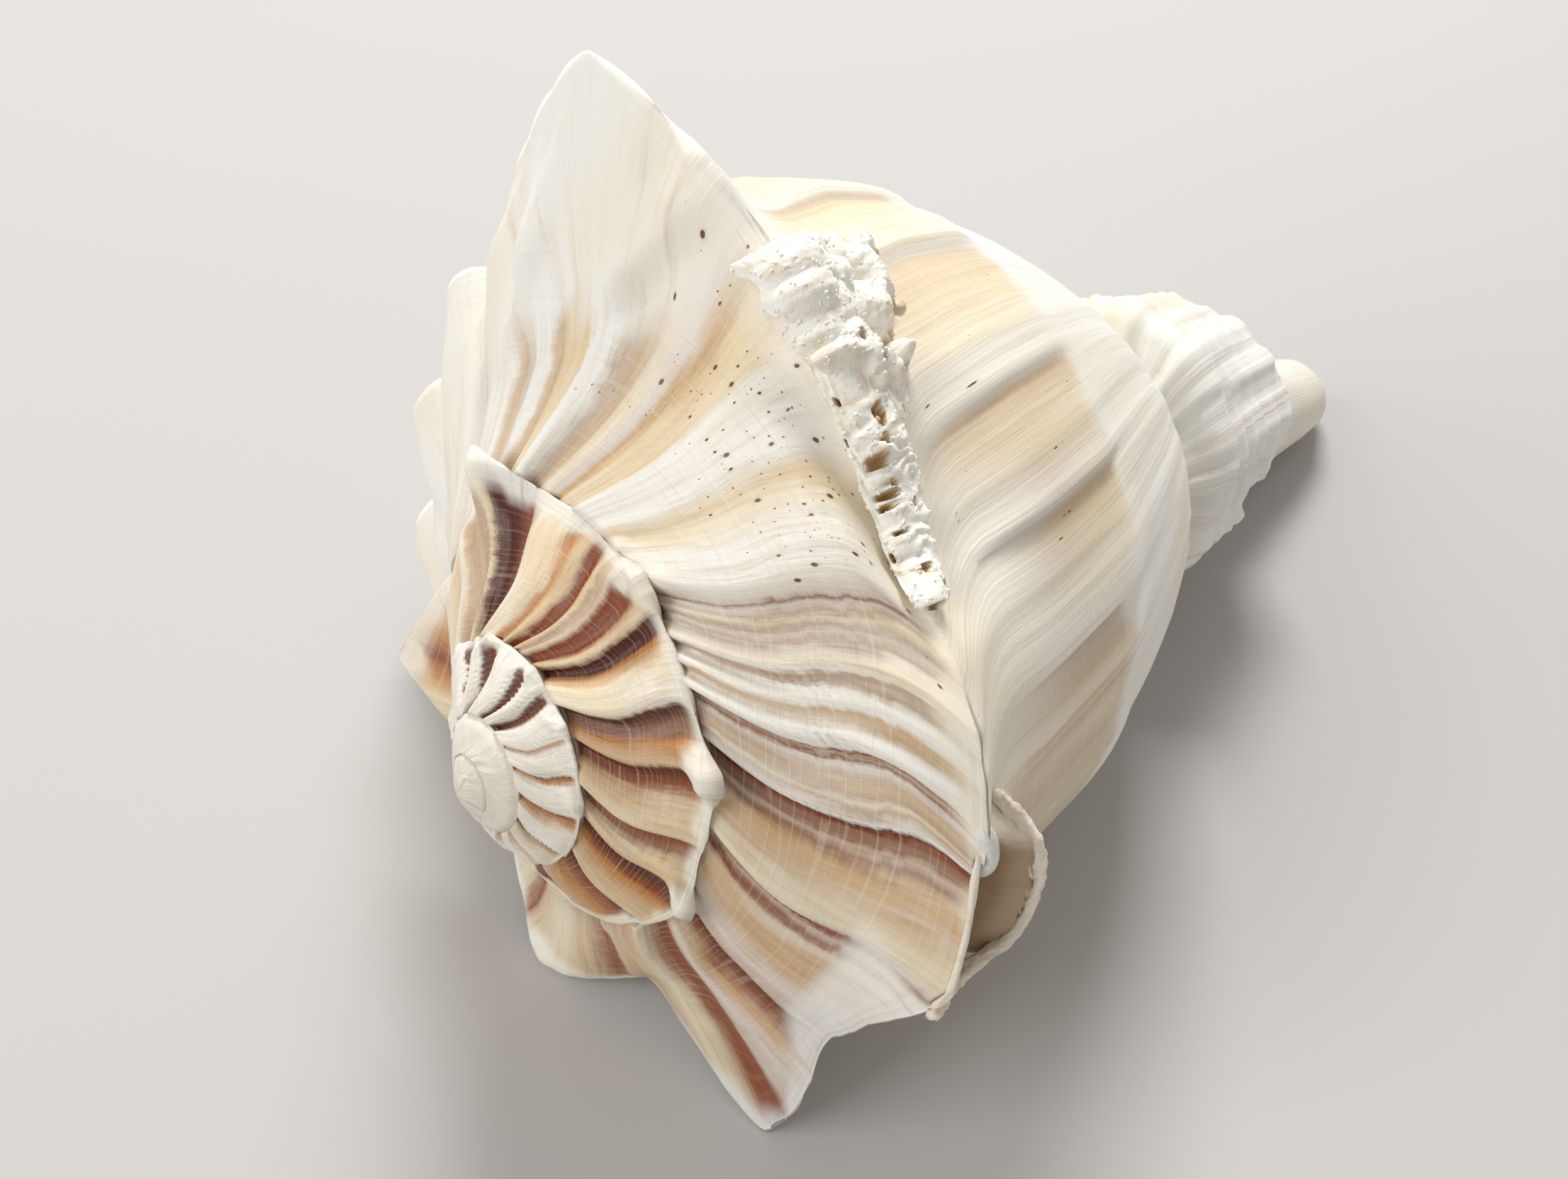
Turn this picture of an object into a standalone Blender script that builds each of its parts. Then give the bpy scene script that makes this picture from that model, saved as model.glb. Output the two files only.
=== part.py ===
"""Lightning whelk shell, lying on its canal tip, its lip and a shoulder spine, with the aperture down.

The shell is one piece. Its surface is swept by one growing outline: each column of points is a growth
line, at the growth angle tau, and each row runs along the whorls at one place v of the outline.
v goes from 0 at the suture, over the shoulder slope, to 1 at the keel, and down the side to 2 at the
tip of the canal. The coil is left-handed, which is the mark of the species.
"""

import math

import bpy
import numpy as np
from mathutils import Euler

# Driving dimensions, in metres, and growth angles, in degrees
SHELL_LENGTH = 0.175
LIP_KEEL_RADIUS = 0.0620
WHORL_RATIO = 1.97
SPIRE_HALF_ANGLE = 58.2
WALL = 0.0026
LIP_ANGLE = 160.0
CANAL_BEND = 0.005
CANAL_BEND_TOWARD = 68.0
BEND_SPAN = (0.35, 0.70)

# How fine the net of points is: columns to a turn, columns by which the suture runs ahead of the keel
COLUMNS = 80
LEAD_COLUMNS = 12
ALL_COLUMNS = 368
APERTURE_COLUMNS = 37

# How the shell lies: turns in degrees about X, Y and Z, and the place of the apex
LIE = (68.65, -40.09, -34.56)
APEX_PLACE = (-0.05195, -0.04795, 0.04833)

LEAD = 360.0 * LEAD_COLUMNS / COLUMNS
SIDE_LEAD = 40.0
GROWTH = math.log(WHORL_RATIO) / 360.0
AXIS_SLOPE = 1.0 / math.tan(math.radians(SPIRE_HALF_ANGLE))

# Outline of the side at the lip: v, distance from the axis and from the apex in keel radii
SIDE = (
    (1.0, 1.0, 0.62),
    (1.02, 0.985, 0.655),
    (1.06, 0.965, 0.72),
    (1.12, 0.94, 0.84),
    (1.25, 0.89, 1.09),
    (1.40, 0.78, 1.34),
    (1.52, 0.61, 1.56),
    (1.60, 0.44, 1.69),
    (1.65, 0.33, 1.76),
    (1.70, 0.28, 1.84),
    (1.78, 0.24, 1.98),
    (1.84, 0.21, 2.12),
    (1.87, 0.19, 2.19),
    (1.92, 0.165, 2.40),
    (1.96, 0.14, 2.56),
    (1.985, 0.095, 2.67),
    (2.0, 0.0, 2.73),
)
# Swelling of the side over the last whorl: growth angles and share of the distance from the axis
SWELL_ANGLES = (-2000.0, -200.0, -100.0, -40.0, 0.0, 25.0, 90.0, 161.0)
SWELL_SHARES = (-0.08, -0.08, -0.085, -0.055, -0.01, 0.045, 0.115, -0.02)

# Swollen collar round the foot of the canal, by growth angle: where it ends in v, and height in keel radii
COLLAR_START = 1.645
COLLAR_ANGLES = (-2000.0, -200.0, -120.0, -60.0, -25.0, 20.0, 60.0, 100.0, 130.0, 161.0)
COLLAR_ENDS = (1.78, 1.78, 1.78, 1.82, 1.88, 1.86, 1.81, 1.79, 1.79, 1.79)
COLLAR_HEIGHTS = (0.0, 0.0, 0.06, 0.11, 0.155, 0.20, 0.21, 0.12, 0.03, 0.015)

# Broken spine, an open trench along the keel: growth angles, depth, and its section as v and share of the depth
TRENCH = (-47.0, -20.0)
TRENCH_DEPTH = 0.0042
TRENCH_PLACES = (0.80, 0.93, 1.0, 1.035, 1.06, 1.10, 1.16)
TRENCH_SHARES = (0.0, 0.4, -0.9, -0.9, 0.45, 0.15, 0.0)

# Chalky crust along the keel: growth angles, places, and height
CRUST = (10.0, 64.0)
CRUST_PLACES = (0.88, 1.13)
CRUST_HEIGHT = 0.0026
SHOULDER_ROWS = (0.3, 0.58, 0.8, 0.93)
SUTURE_V = 1.02
LINING_V = 1.035
KEEL_ZONE = (1.02, 1.14)
SIDE_ROWS = (
    LINING_V, 1.06, 1.10, 1.16, 1.24, 1.33, 1.43, 1.54, 1.64, 1.70, 1.77, 1.84, 1.875, 1.92, 1.96, 1.985,
)

# Shoulder spines: growth angle, reach in keel radii, rise before and fall after in degrees, sharpness,
# and lift towards the apex as a share of the reach
SPINES = (
    (-411, 0.05, 22, 18, 1.5, 0.3),
    (-370, 0.10, 24, 20, 1.5, 0.3),
    (-324, 0.06, 24, 20, 1.5, 0.3),
    (-265, 0.17, 26, 20, 1.5, 0.3),
    (-197, 0.34, 28, 22, 1.4, 0.3),
    (-138, 0.27, 28, 22, 1.2, 0.3),
    (-96, 0.40, 19, 27, 1.6, -0.1),
    (-42, 0.11, 18, 40, 1.2, 0.2),
    (72, 0.33, 34, 40, 1.5, 0.3),
    (118, 0.12, 18, 14, 1.0, 0.3),
    (141, 0.14, 16, 12, 1.0, 0.3),
    (158, 0.16, 13, 10, 1.0, 0.3),
)


def smooth_curve(x, xs, ys):
    """A monotone cubic through the points (xs, ys), read at x."""
    xs, ys = np.asarray(xs, float), np.asarray(ys, float)
    step = np.diff(xs)
    slope = np.diff(ys) / step
    tangent = np.concatenate([slope[:1], np.zeros(len(xs) - 2), slope[-1:]])
    same = slope[:-1] * slope[1:] > 0
    left, right = 2 * step[1:] + step[:-1], step[1:] + 2 * step[:-1]
    before, after = np.where(same, slope[:-1], 1.0), np.where(same, slope[1:], 1.0)
    tangent[1:-1] = np.where(same, (left + right) / (left / before + right / after), 0.0)
    i = np.clip(np.searchsorted(xs, x, side="right") - 1, 0, len(xs) - 2)
    t = (x - xs[i]) / step[i]
    return (
        (1 + 2 * t) * (1 - t) ** 2 * ys[i]
        + t * (1 - t) ** 2 * step[i] * tangent[i]
        + t * t * (3 - 2 * t) * ys[i + 1]
        + t * t * (t - 1) * step[i] * tangent[i + 1]
    )


def ease(x):
    """0 up to 0, 1 from 1 on, and a smooth step between."""
    x = np.clip(x, 0, 1)
    return x * x * (3 - 2 * x)


def between(x, span):
    """A smooth step from 0 to 1 over the span."""
    return ease((x - span[0]) / (span[1] - span[0]))


def scale(tau):
    """Size of the growing outline at tau, as a share of its size at the lip."""
    return np.exp(GROWTH * (tau - LIP_ANGLE))


def spine_reach(tau):
    """How far the keel is drawn out at tau, and how far lifted towards the apex, in local keel radii."""
    reach, lifted = np.zeros_like(tau), np.zeros_like(tau)
    for angle, height, rise, fall, sharpness, lift in SPINES:
        off = np.where(tau < angle, (angle - tau) / rise, (tau - angle) / fall)
        drawn = height * np.clip(1 - off, 0, 1) ** sharpness
        lifted = np.where(drawn > reach, lift * drawn, lifted)
        reach = np.maximum(reach, drawn)
    return reach, lifted


def lead(v):
    """Degrees by which a growth line runs ahead of its place on the keel."""
    return LEAD * np.clip(1 - v, 0, 1) ** 1.3 + SIDE_LEAD * np.clip(v - SUTURE_V, 0, 1) ** 1.2


def side_outline(tau, v):
    """Distance from the axis and from the apex on the smooth side of the outline, v from 1 to 2."""
    size = scale(tau)
    places = [row[0] for row in SIDE]
    out = smooth_curve(v, places, [row[1] for row in SIDE])
    down = smooth_curve(v, places, [row[2] for row in SIDE])
    collar_end = smooth_curve(tau, COLLAR_ANGLES, COLLAR_ENDS)
    rise = ease((v - COLLAR_START) / 0.05) * ease((collar_end - v) / 0.03)
    out = out + rise * smooth_curve(tau, COLLAR_ANGLES, COLLAR_HEIGHTS)
    # The side swells over the last half turn, and the canal narrows more slowly than the rest
    swell = smooth_curve(tau, SWELL_ANGLES, SWELL_SHARES)
    swell = 1 + swell * np.clip((v - 1) / 0.15, 0, 1) * np.clip((1.68 - v) / 0.2, 0, 1)
    steady = 1 - 0.4 * np.clip((v - 1.5) / 0.35, 0, 1)
    out = out * LIP_KEEL_RADIUS * size**steady * swell
    # Every growth line ends at the tip of the canal; next to the keel it keeps the shape of its own whorl
    keel_down = AXIS_SLOPE * LIP_KEEL_RADIUS * size
    first, last = SIDE[0][2], SIDE[-1][2]
    whorl_unit, canal_unit = LIP_KEEL_RADIUS * size, (SHELL_LENGTH - keel_down) / (last - first)
    unit = whorl_unit + (canal_unit - whorl_unit) * between(v, KEEL_ZONE)
    return out, keel_down + unit * (down - first)


def spine_fall(tau, v):
    """Share of a spine's reach that the side keeps below the keel; it is steep where a later whorl covers it."""
    width = 0.025 + 0.075 * np.clip((tau + 130) / 30, 0, 1)
    return np.clip(1 - (v - 1) / width, 0, 1) ** 1.5


def relief(tau, v):
    """Height of the trench of the broken spine and of the crust on the keel, square to the axis."""
    inside = between(tau, (TRENCH[0], TRENCH[0] + 4)) * between(-tau, (-TRENCH[1], 6 - TRENCH[1]))
    section = smooth_curve(np.clip(v, TRENCH_PLACES[0], TRENCH_PLACES[-1]), TRENCH_PLACES, TRENCH_SHARES)
    along = between(tau, (CRUST[0], CRUST[0] + 6)) * between(-tau, (-CRUST[1], 6 - CRUST[1]))
    across = between(v, (CRUST_PLACES[0], 0.96)) * between(-v, (-CRUST_PLACES[1], -1.06))
    lumps = 0.55 + 0.25 * np.sin(1.13 * tau + 9 * v) + 0.2 * np.sin(0.71 * tau - 31 * v)
    return TRENCH_DEPTH * inside * section + CRUST_HEIGHT * along * across * lumps


def outline(tau, v, spines=1.0):
    """Distance from the axis and from the apex on the outer surface, spines and all."""
    tau, v = np.broadcast_arrays(np.asarray(tau, float), np.asarray(v, float))
    radius = LIP_KEEL_RADIUS * scale(tau)
    reach, lifted = (spines * radius * share for share in spine_reach(tau))
    out, down = side_outline(tau, np.maximum(v, 1))
    fall = spine_fall(tau, np.maximum(v, 1))
    out, down = out + reach * fall, down - lifted * fall
    before = tau + LEAD - 360
    before_radius = LIP_KEEL_RADIUS * scale(before) * spine_fall(before, SUTURE_V)
    before_reach, before_lifted = (before_radius * share for share in spine_reach(before))
    suture_out, suture_down = side_outline(before, np.full(tau.shape, SUTURE_V))
    suture_out, suture_down = suture_out + before_reach, suture_down - before_lifted
    q = np.clip(v, 0, 1)
    grow = np.clip((q - 0.45) / 0.55, 0, 1) ** 1.6
    slope_out = suture_out + (radius - suture_out) * q + reach * grow
    slope_down = suture_down + (AXIS_SLOPE * radius - suture_down) * q - lifted * grow
    raised = spines * relief(tau, v)
    return np.where(v < 1, slope_out, out) + raised, np.where(v < 1, slope_down, down)


def placed(tau, v, out, down):
    """Points in the shell's own frame: the axis is Z, with the apex at 0 and the canal below."""
    turn = np.radians(tau + lead(v))
    bend = CANAL_BEND * between(down / SHELL_LENGTH, BEND_SPAN)
    toward = math.radians(CANAL_BEND_TOWARD)
    return np.stack(
        [out * np.cos(turn) + bend * math.cos(toward), out * np.sin(turn) + bend * math.sin(toward), -down], axis=-1
    )


def outer_point(tau, v):
    tau, v = np.broadcast_arrays(np.asarray(tau, float), np.asarray(v, float))
    return placed(tau, v, *outline(tau, v))


def lining_point(tau, v):
    """The inner face of the outer wall, square in from the smooth outline by the wall's thickness."""
    tau, v = np.broadcast_arrays(np.asarray(tau, float), np.asarray(v, float))
    reach = np.where(v < 1, 0.15, 0.04)
    low, high = np.maximum(v - reach, 0.0), np.minimum(v + reach, 2.0)
    out_low, down_low = outline(tau, low, spines=0.0)
    out_high, down_high = outline(tau, high, spines=0.0)
    along_out, along_down = out_high - out_low, down_high - down_low
    length = np.hypot(along_out, along_down)
    out, down = outline(tau, v, spines=0.0)
    room = out - side_outline(tau - 360, np.maximum(v, 1))[0]
    wall = np.where(v < 1.02, WALL, np.minimum(WALL, 0.45 * np.maximum(room, 0)))
    out = out - wall * along_down / length
    down = down + wall * along_out / length
    return placed(tau, v, out, down)


class Net:
    """Points and faces of the shell, joined where a whorl meets the one before it."""

    def __init__(self):
        self.points = []
        self.faces = []

    def add_row(self, points):
        """Adds a list of points and returns their numbers."""
        first = len(self.points)
        self.points.extend(points.tolist())
        return list(range(first, first + len(points)))

    def add_face(self, *corners):
        """Adds a face, leaving out a corner that repeats."""
        kept = [c for i, c in enumerate(corners) if c != corners[i - 1]]
        if len(set(kept)) > 2:
            self.faces.append(kept)

    def strip(self, first, second, flip=False):
        """Fills the space between two lines of points of the same length."""
        for a, b, c, d in zip(first, first[1:], second[1:], second):
            self.add_face(*((a, d, c, b) if flip else (a, b, c, d)))

    def zip_lines(self, first, second, flip=False):
        """Fills the space between two lines of points of any length that start at one point."""
        i = j = 0
        while i < len(first) - 1 or j < len(second) - 1:
            if j == len(second) - 1 or (i < len(first) - 1 and i * len(second) <= j * len(first)):
                corners = (first[i], first[i + 1], second[j])
                i += 1
            else:
                corners = (first[i], second[j + 1], second[j])
                j += 1
            self.add_face(*(corners[::-1] if flip else corners))


def shell_net():
    """The whole surface: spire and shoulder, side, lining of the aperture, lip and the deep end."""
    net = Net()
    taus = LIP_ANGLE + (np.arange(ALL_COLUMNS + 1) - ALL_COLUMNS) * 360.0 / COLUMNS
    lip = ALL_COLUMNS
    behind = COLUMNS - LEAD_COLUMNS
    apex = net.add_row(np.array([[0.0, 0.0, 0.0]]))[0]
    canal_tip = net.add_row(placed(np.array([LIP_ANGLE]), np.array([2.0]), np.array([0.0]), np.array([SHELL_LENGTH])))[0]
    slope_v = np.array([*SHOULDER_ROWS, 1.0, SUTURE_V])
    slope = [net.add_row(outer_point(tau, slope_v)) for tau in taus]

    def upper(column):
        """The suture, the shoulder, the keel and the line that the next whorl covers."""
        start = slope[column - behind][-1] if column >= behind else apex
        return [start, *slope[column]]

    for column in range(lip):
        net.strip(upper(column), upper(column + 1))
    net.add_face(*upper(0)[::-1])

    side_v = np.array(SIDE_ROWS)
    deep = lip - COLUMNS - APERTURE_COLUMNS
    side = {c: [*net.add_row(outer_point(taus[c], side_v)), canal_tip] for c in range(deep, lip + 1)}
    for column in range(deep, lip):
        net.strip(side[column], side[column + 1])
    for column in range(lip - behind, lip):
        net.strip([slope[column][-1], side[column][0]], [slope[column + 1][-1], side[column + 1][0]])

    lining_v = np.concatenate([slope_v, side_v])
    inner = {}
    for column in range(lip - APERTURE_COLUMNS, lip + 1):
        start = side[column - behind][0]
        inner[column] = [start, *net.add_row(lining_point(taus[column], lining_v)), canal_tip]
    for column in range(lip - APERTURE_COLUMNS, lip):
        net.strip(inner[column], inner[column + 1], flip=True)
    net.strip([*upper(lip), *side[lip]], inner[lip])

    end = inner[lip - APERTURE_COLUMNS]
    along_side = len(side_v) + 1
    net.strip(end[-along_side:], side[deep])
    covered = [side[c][0] for c in range(deep + LEAD_COLUMNS, deep - 1, -1)]
    net.zip_lines(end[: -along_side + 1], covered)
    return np.array(net.points), net.faces


def shell_material():
    """Cream white, slightly glossy shell."""
    material = bpy.data.materials.new("shell")
    material.use_nodes = True
    shader = material.node_tree.nodes["Principled BSDF"]
    shader.inputs["Base Color"].default_value = (0.80, 0.70, 0.55, 1.0)
    shader.inputs["Roughness"].default_value = 0.35
    shader.inputs["Metallic"].default_value = 0.0
    return material


def lying(points):
    """Turns the shell from its own frame to the way it lies."""
    turn = Euler([math.radians(a) for a in LIE], "XYZ").to_matrix()
    return points @ np.array(turn).T + np.array(APEX_PLACE)


def main():
    for thing in list(bpy.data.objects):
        bpy.data.objects.remove(thing)
    points, faces = shell_net()
    mesh = bpy.data.meshes.new("shell")
    mesh.from_pydata(lying(points).tolist(), [], faces)
    mesh.shade_smooth()
    mesh.validate()
    mesh.materials.append(shell_material())
    bpy.context.scene.collection.objects.link(bpy.data.objects.new("shell", mesh))


main()
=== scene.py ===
"""Looks of a lightning whelk shell that lies aperture down on a pale floor.

The surface is swept as the shell grew. Each column of points is a growth line, at the growth angle tau in
degrees, and each row runs along the whorls at one place v of the outline: 0 at the suture, 1 at the keel
and 2 at the tip of the canal. Reliefs and colours are rules on tau and v, so they follow the growth.
"""

import logging
import math
from dataclasses import dataclass, field
from enum import Enum

import bpy
import numpy as np
from mathutils import Euler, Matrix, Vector


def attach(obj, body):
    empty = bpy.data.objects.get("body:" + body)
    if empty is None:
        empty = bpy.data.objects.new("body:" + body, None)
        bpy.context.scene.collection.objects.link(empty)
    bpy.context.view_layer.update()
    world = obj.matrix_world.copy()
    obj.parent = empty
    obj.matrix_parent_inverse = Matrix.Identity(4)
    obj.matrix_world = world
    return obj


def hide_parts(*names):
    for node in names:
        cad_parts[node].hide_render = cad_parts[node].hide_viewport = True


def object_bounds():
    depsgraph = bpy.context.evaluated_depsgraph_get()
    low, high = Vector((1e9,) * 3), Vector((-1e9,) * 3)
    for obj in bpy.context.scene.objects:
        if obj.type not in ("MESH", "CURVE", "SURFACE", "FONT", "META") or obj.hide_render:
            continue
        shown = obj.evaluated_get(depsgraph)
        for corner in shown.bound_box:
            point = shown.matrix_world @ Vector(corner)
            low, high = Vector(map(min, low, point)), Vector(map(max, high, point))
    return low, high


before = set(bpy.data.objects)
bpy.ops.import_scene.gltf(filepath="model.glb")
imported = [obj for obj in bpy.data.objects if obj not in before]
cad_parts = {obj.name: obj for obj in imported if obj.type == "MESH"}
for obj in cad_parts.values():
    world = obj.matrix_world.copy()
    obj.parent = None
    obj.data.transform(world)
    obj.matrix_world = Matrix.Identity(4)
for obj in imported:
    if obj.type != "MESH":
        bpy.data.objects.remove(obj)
CAD_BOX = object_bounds()
LOG = logging.getLogger("whelk")

PHOTO_SIZE = (2212, 1663)
RAMP_STEPS = 30
BOX_MARGIN = 2e-5
Colour = tuple[float, float, float, float]


class Zone(Enum):
    """Which part of the surface a point belongs to."""

    OUTSIDE = 0.0
    LINING = 1.0


def ease(x: np.ndarray) -> np.ndarray:
    """0 up to 0, 1 from 1 on, and a smooth step between."""
    x = np.clip(x, 0.0, 1.0)
    return x * x * (3.0 - 2.0 * x)


def between(x: np.ndarray, low: float, high: float) -> np.ndarray:
    """A smooth step from 0 at low to 1 at high, either way round."""
    return ease((x - low) / (high - low))


def bump_at(x: np.ndarray, centre: float, half_width: float) -> np.ndarray:
    """A smooth hill of height 1 at centre that ends half_width away from it."""
    return ease(1.0 - np.abs(x - centre) / half_width)


def smooth_curve(x: np.ndarray, xs: tuple[float, ...], ys: tuple[float, ...]) -> np.ndarray:
    """A monotone cubic through the points (xs, ys), read at x.

    Args:
        x: Where it is read.
        xs: Rising places of the points.
        ys: Their values.

    Returns:
        The values at x.
    """
    xs, ys = np.asarray(xs, float), np.asarray(ys, float)
    step = np.diff(xs)
    slope = np.diff(ys) / step
    tangent = np.concatenate([slope[:1], np.zeros(len(xs) - 2), slope[-1:]])
    same = slope[:-1] * slope[1:] > 0
    left, right = 2 * step[1:] + step[:-1], step[1:] + 2 * step[:-1]
    before, after = np.where(same, slope[:-1], 1.0), np.where(same, slope[1:], 1.0)
    tangent[1:-1] = np.where(same, (left + right) / (left / before + right / after), 0.0)
    i = np.clip(np.searchsorted(xs, x, side="right") - 1, 0, len(xs) - 2)
    t = (x - xs[i]) / step[i]
    return (
        (1 + 2 * t) * (1 - t) ** 2 * ys[i]
        + t * (1 - t) ** 2 * step[i] * tangent[i]
        + t * t * (3 - 2 * t) * ys[i + 1]
        + t * t * (t - 1) * step[i] * tangent[i + 1]
    )


def hashed(i: np.ndarray, j: np.ndarray, seed: int) -> np.ndarray:
    """A fixed number from 0 to 1 for each cell (i, j)."""
    mixed = np.sin(i * 127.1 + j * 311.7 + seed * 74.7) * 43758.5453
    return mixed - np.floor(mixed)


def noise(x: np.ndarray, y: np.ndarray, seed: int) -> np.ndarray:
    """Smooth noise from -1 to 1 on cells one unit wide.

    Args:
        x: First coordinate.
        y: Second coordinate.
        seed: Picks the pattern.

    Returns:
        The noise at each point.
    """
    i, j = np.floor(x), np.floor(y)
    u, w = ease(x - i), ease(y - j)
    low = hashed(i, j, seed) * (1 - u) + hashed(i + 1, j, seed) * u
    high = hashed(i, j + 1, seed) * (1 - u) + hashed(i + 1, j + 1, seed) * u
    return 2.0 * (low * (1 - w) + high * w) - 1.0


def cells(x: np.ndarray, y: np.ndarray, seed: int) -> np.ndarray:
    """Distance from each point to the nearest of one random spot in each unit cell."""
    nearest = np.full(np.broadcast(x, y).shape, 9.0)
    for di in (-1, 0, 1):
        for dj in (-1, 0, 1):
            i, j = np.floor(x) + di, np.floor(y) + dj
            away = np.hypot(i + hashed(i, j, seed) - x, j + hashed(i, j, seed + 9) - y)
            nearest = np.minimum(nearest, away)
    return nearest


@dataclass(frozen=True)
class Spine:
    """A shoulder spine or knob, drawn out of the keel."""

    angle: float
    reach: float
    rise: float
    fall: float
    sharpness: float
    lift: float
    roundness: float = 1.0


@dataclass(frozen=True)
class Growth:
    """The law by which the shell grew, and how it lies: sizes in metres, angles in degrees."""

    length: float = 0.175
    keel_radius: float = 0.0620
    whorl_ratio: float = 1.97
    spire_half_angle: float = 58.2
    wall: float = 0.0026
    lip: float = 160.0
    lead: float = 54.0
    side_lead: float = 40.0
    curl: float = 32.0
    curl_shape: float = 1.9
    gather_start: float = 0.5
    gather_end: float = 1.09
    gather_shape: float = 1.4
    gather_angles: tuple[float, ...] = (
        -2000.0, -34.0, -27.0, -21.0, -15.0, 3.0, 12.0, 30.0, 46.0, 62.0, 161.0,
    )
    gather_shares: tuple[float, ...] = (0.0, 0.0, 1.0, 9.0, 11.0, 11.0, 12.0, 6.0, 2.0, 0.0, 0.0)
    suture: float = 1.02
    canal_bend: float = 0.005
    canal_bend_toward: float = 68.0
    canal_bend_span: tuple[float, float] = (0.35, 0.70)
    lead_shape: float = 1.3
    side_lead_shape: float = 1.2
    spine_root: float = 0.45
    spine_shape: float = 1.6
    lie: tuple[float, float, float] = (68.65, -40.09, -34.56)
    apex: tuple[float, float, float] = (-0.05195, -0.04795, 0.04833)
    side_places: tuple[float, ...] = (
        1.0, 1.02, 1.06, 1.12, 1.25, 1.40, 1.52, 1.60, 1.65,
        1.70, 1.78, 1.84, 1.87, 1.92, 1.96, 1.985, 2.0,
    )
    side_out: tuple[float, ...] = (
        1.0, 0.985, 0.965, 0.94, 0.89, 0.78, 0.61, 0.44, 0.33,
        0.28, 0.24, 0.21, 0.19, 0.165, 0.14, 0.095, 0.0,
    )
    side_down: tuple[float, ...] = (
        0.62, 0.655, 0.72, 0.84, 1.09, 1.34, 1.56, 1.69, 1.76,
        1.84, 1.98, 2.12, 2.19, 2.40, 2.56, 2.67, 2.73,
    )
    swell_angles: tuple[float, ...] = (-2000.0, -200.0, -100.0, -40.0, 0.0, 25.0, 90.0, 161.0)
    swell_shares: tuple[float, ...] = (-0.08, -0.08, -0.085, -0.055, -0.01, 0.045, 0.115, -0.02)
    collar_start: float = 1.645
    collar_angles: tuple[float, ...] = (
        -2000.0, -200.0, -120.0, -60.0, -25.0, 20.0, 60.0, 100.0, 130.0, 161.0,
    )
    collar_ends: tuple[float, ...] = (1.78, 1.78, 1.78, 1.82, 1.88, 1.86, 1.81, 1.79, 1.79, 1.79)
    collar_heights: tuple[float, ...] = (0.0, 0.0, 0.06, 0.11, 0.155, 0.20, 0.21, 0.12, 0.03, 0.015)
    spines: tuple[Spine, ...] = (
        Spine(-411, 0.05, 22, 18, 1.5, 0.3),
        Spine(-370, 0.10, 24, 20, 1.5, 0.3),
        Spine(-324, 0.06, 24, 20, 1.5, 0.3),
        Spine(-265, 0.17, 26, 20, 1.5, 0.3),
        Spine(-197, 0.34, 28, 22, 1.4, 0.3),
        Spine(-138, 0.27, 28, 22, 1.2, 0.3, 1.3),
        Spine(-96, 0.392, 19, 27, 1.45, -0.1, 1.2),
        Spine(-42, 0.11, 18, 40, 1.2, 0.2),
        Spine(72, 0.312, 34, 40, 1.5, 0.3, 1.15),
        Spine(117, 0.085, 10, 9, 1.0, 0.3, 1.7),
        Spine(140, 0.115, 10, 8, 1.0, 0.3, 1.6),
        Spine(158, 0.135, 9, 9, 1.0, 0.3, 1.6),
    )

    def scale(self, tau: np.ndarray) -> np.ndarray:
        """Size of the growing outline at tau, as a share of its size at the lip."""
        return np.exp(math.log(self.whorl_ratio) / 360.0 * (tau - self.lip))

    def axis_slope(self) -> float:
        """How far the keel goes down the axis for each metre away from it."""
        return 1.0 / math.tan(math.radians(self.spire_half_angle))

    def spine_reach(self, tau: np.ndarray) -> tuple[np.ndarray, np.ndarray]:
        """How far the keel is drawn out at tau and how far lifted, in local keel radii."""
        reach, lifted = np.zeros_like(tau), np.zeros_like(tau)
        for spine in self.spines:
            away = tau - spine.angle
            off = np.clip(np.where(away < 0, -away / spine.rise, away / spine.fall), 0, 1)
            drawn = spine.reach * np.clip(1 - off**spine.roundness, 0, 1) ** spine.sharpness
            lifted = np.where(drawn > reach, spine.lift * drawn, lifted)
            reach = np.maximum(reach, drawn)
        return reach, lifted

    def side_outline(self, tau: np.ndarray, v: np.ndarray) -> tuple[np.ndarray, np.ndarray]:
        """Distance from the axis and from the apex on the smooth side of the outline, v from 1 to 2."""
        size = self.scale(tau)
        out = smooth_curve(v, self.side_places, self.side_out)
        down = smooth_curve(v, self.side_places, self.side_down)
        collar_end = smooth_curve(tau, self.collar_angles, self.collar_ends)
        rise = ease((v - self.collar_start) / 0.05) * ease((collar_end - v) / 0.03)
        out = out + rise * smooth_curve(tau, self.collar_angles, self.collar_heights)
        swell = smooth_curve(tau, self.swell_angles, self.swell_shares)
        swell = 1 + swell * np.clip((v - 1) / 0.15, 0, 1) * np.clip((1.68 - v) / 0.2, 0, 1)
        steady = 1 - 0.4 * np.clip((v - 1.5) / 0.35, 0, 1)
        out = out * self.keel_radius * size**steady * swell
        keel_down = self.axis_slope() * self.keel_radius * size
        first, last = self.side_down[0], self.side_down[-1]
        whorl_unit, canal_unit = self.keel_radius * size, (self.length - keel_down) / (last - first)
        unit = whorl_unit + (canal_unit - whorl_unit) * between(v, 1.02, 1.14)
        return out, keel_down + unit * (down - first)

    def spine_fall(self, tau: np.ndarray, v: np.ndarray) -> np.ndarray:
        """Share of a spine's reach that the side keeps below the keel."""
        width = 0.025 + 0.075 * np.clip((tau + 130) / 30, 0, 1)
        return np.clip(1 - (v - 1) / width, 0, 1) ** 1.5

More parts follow.
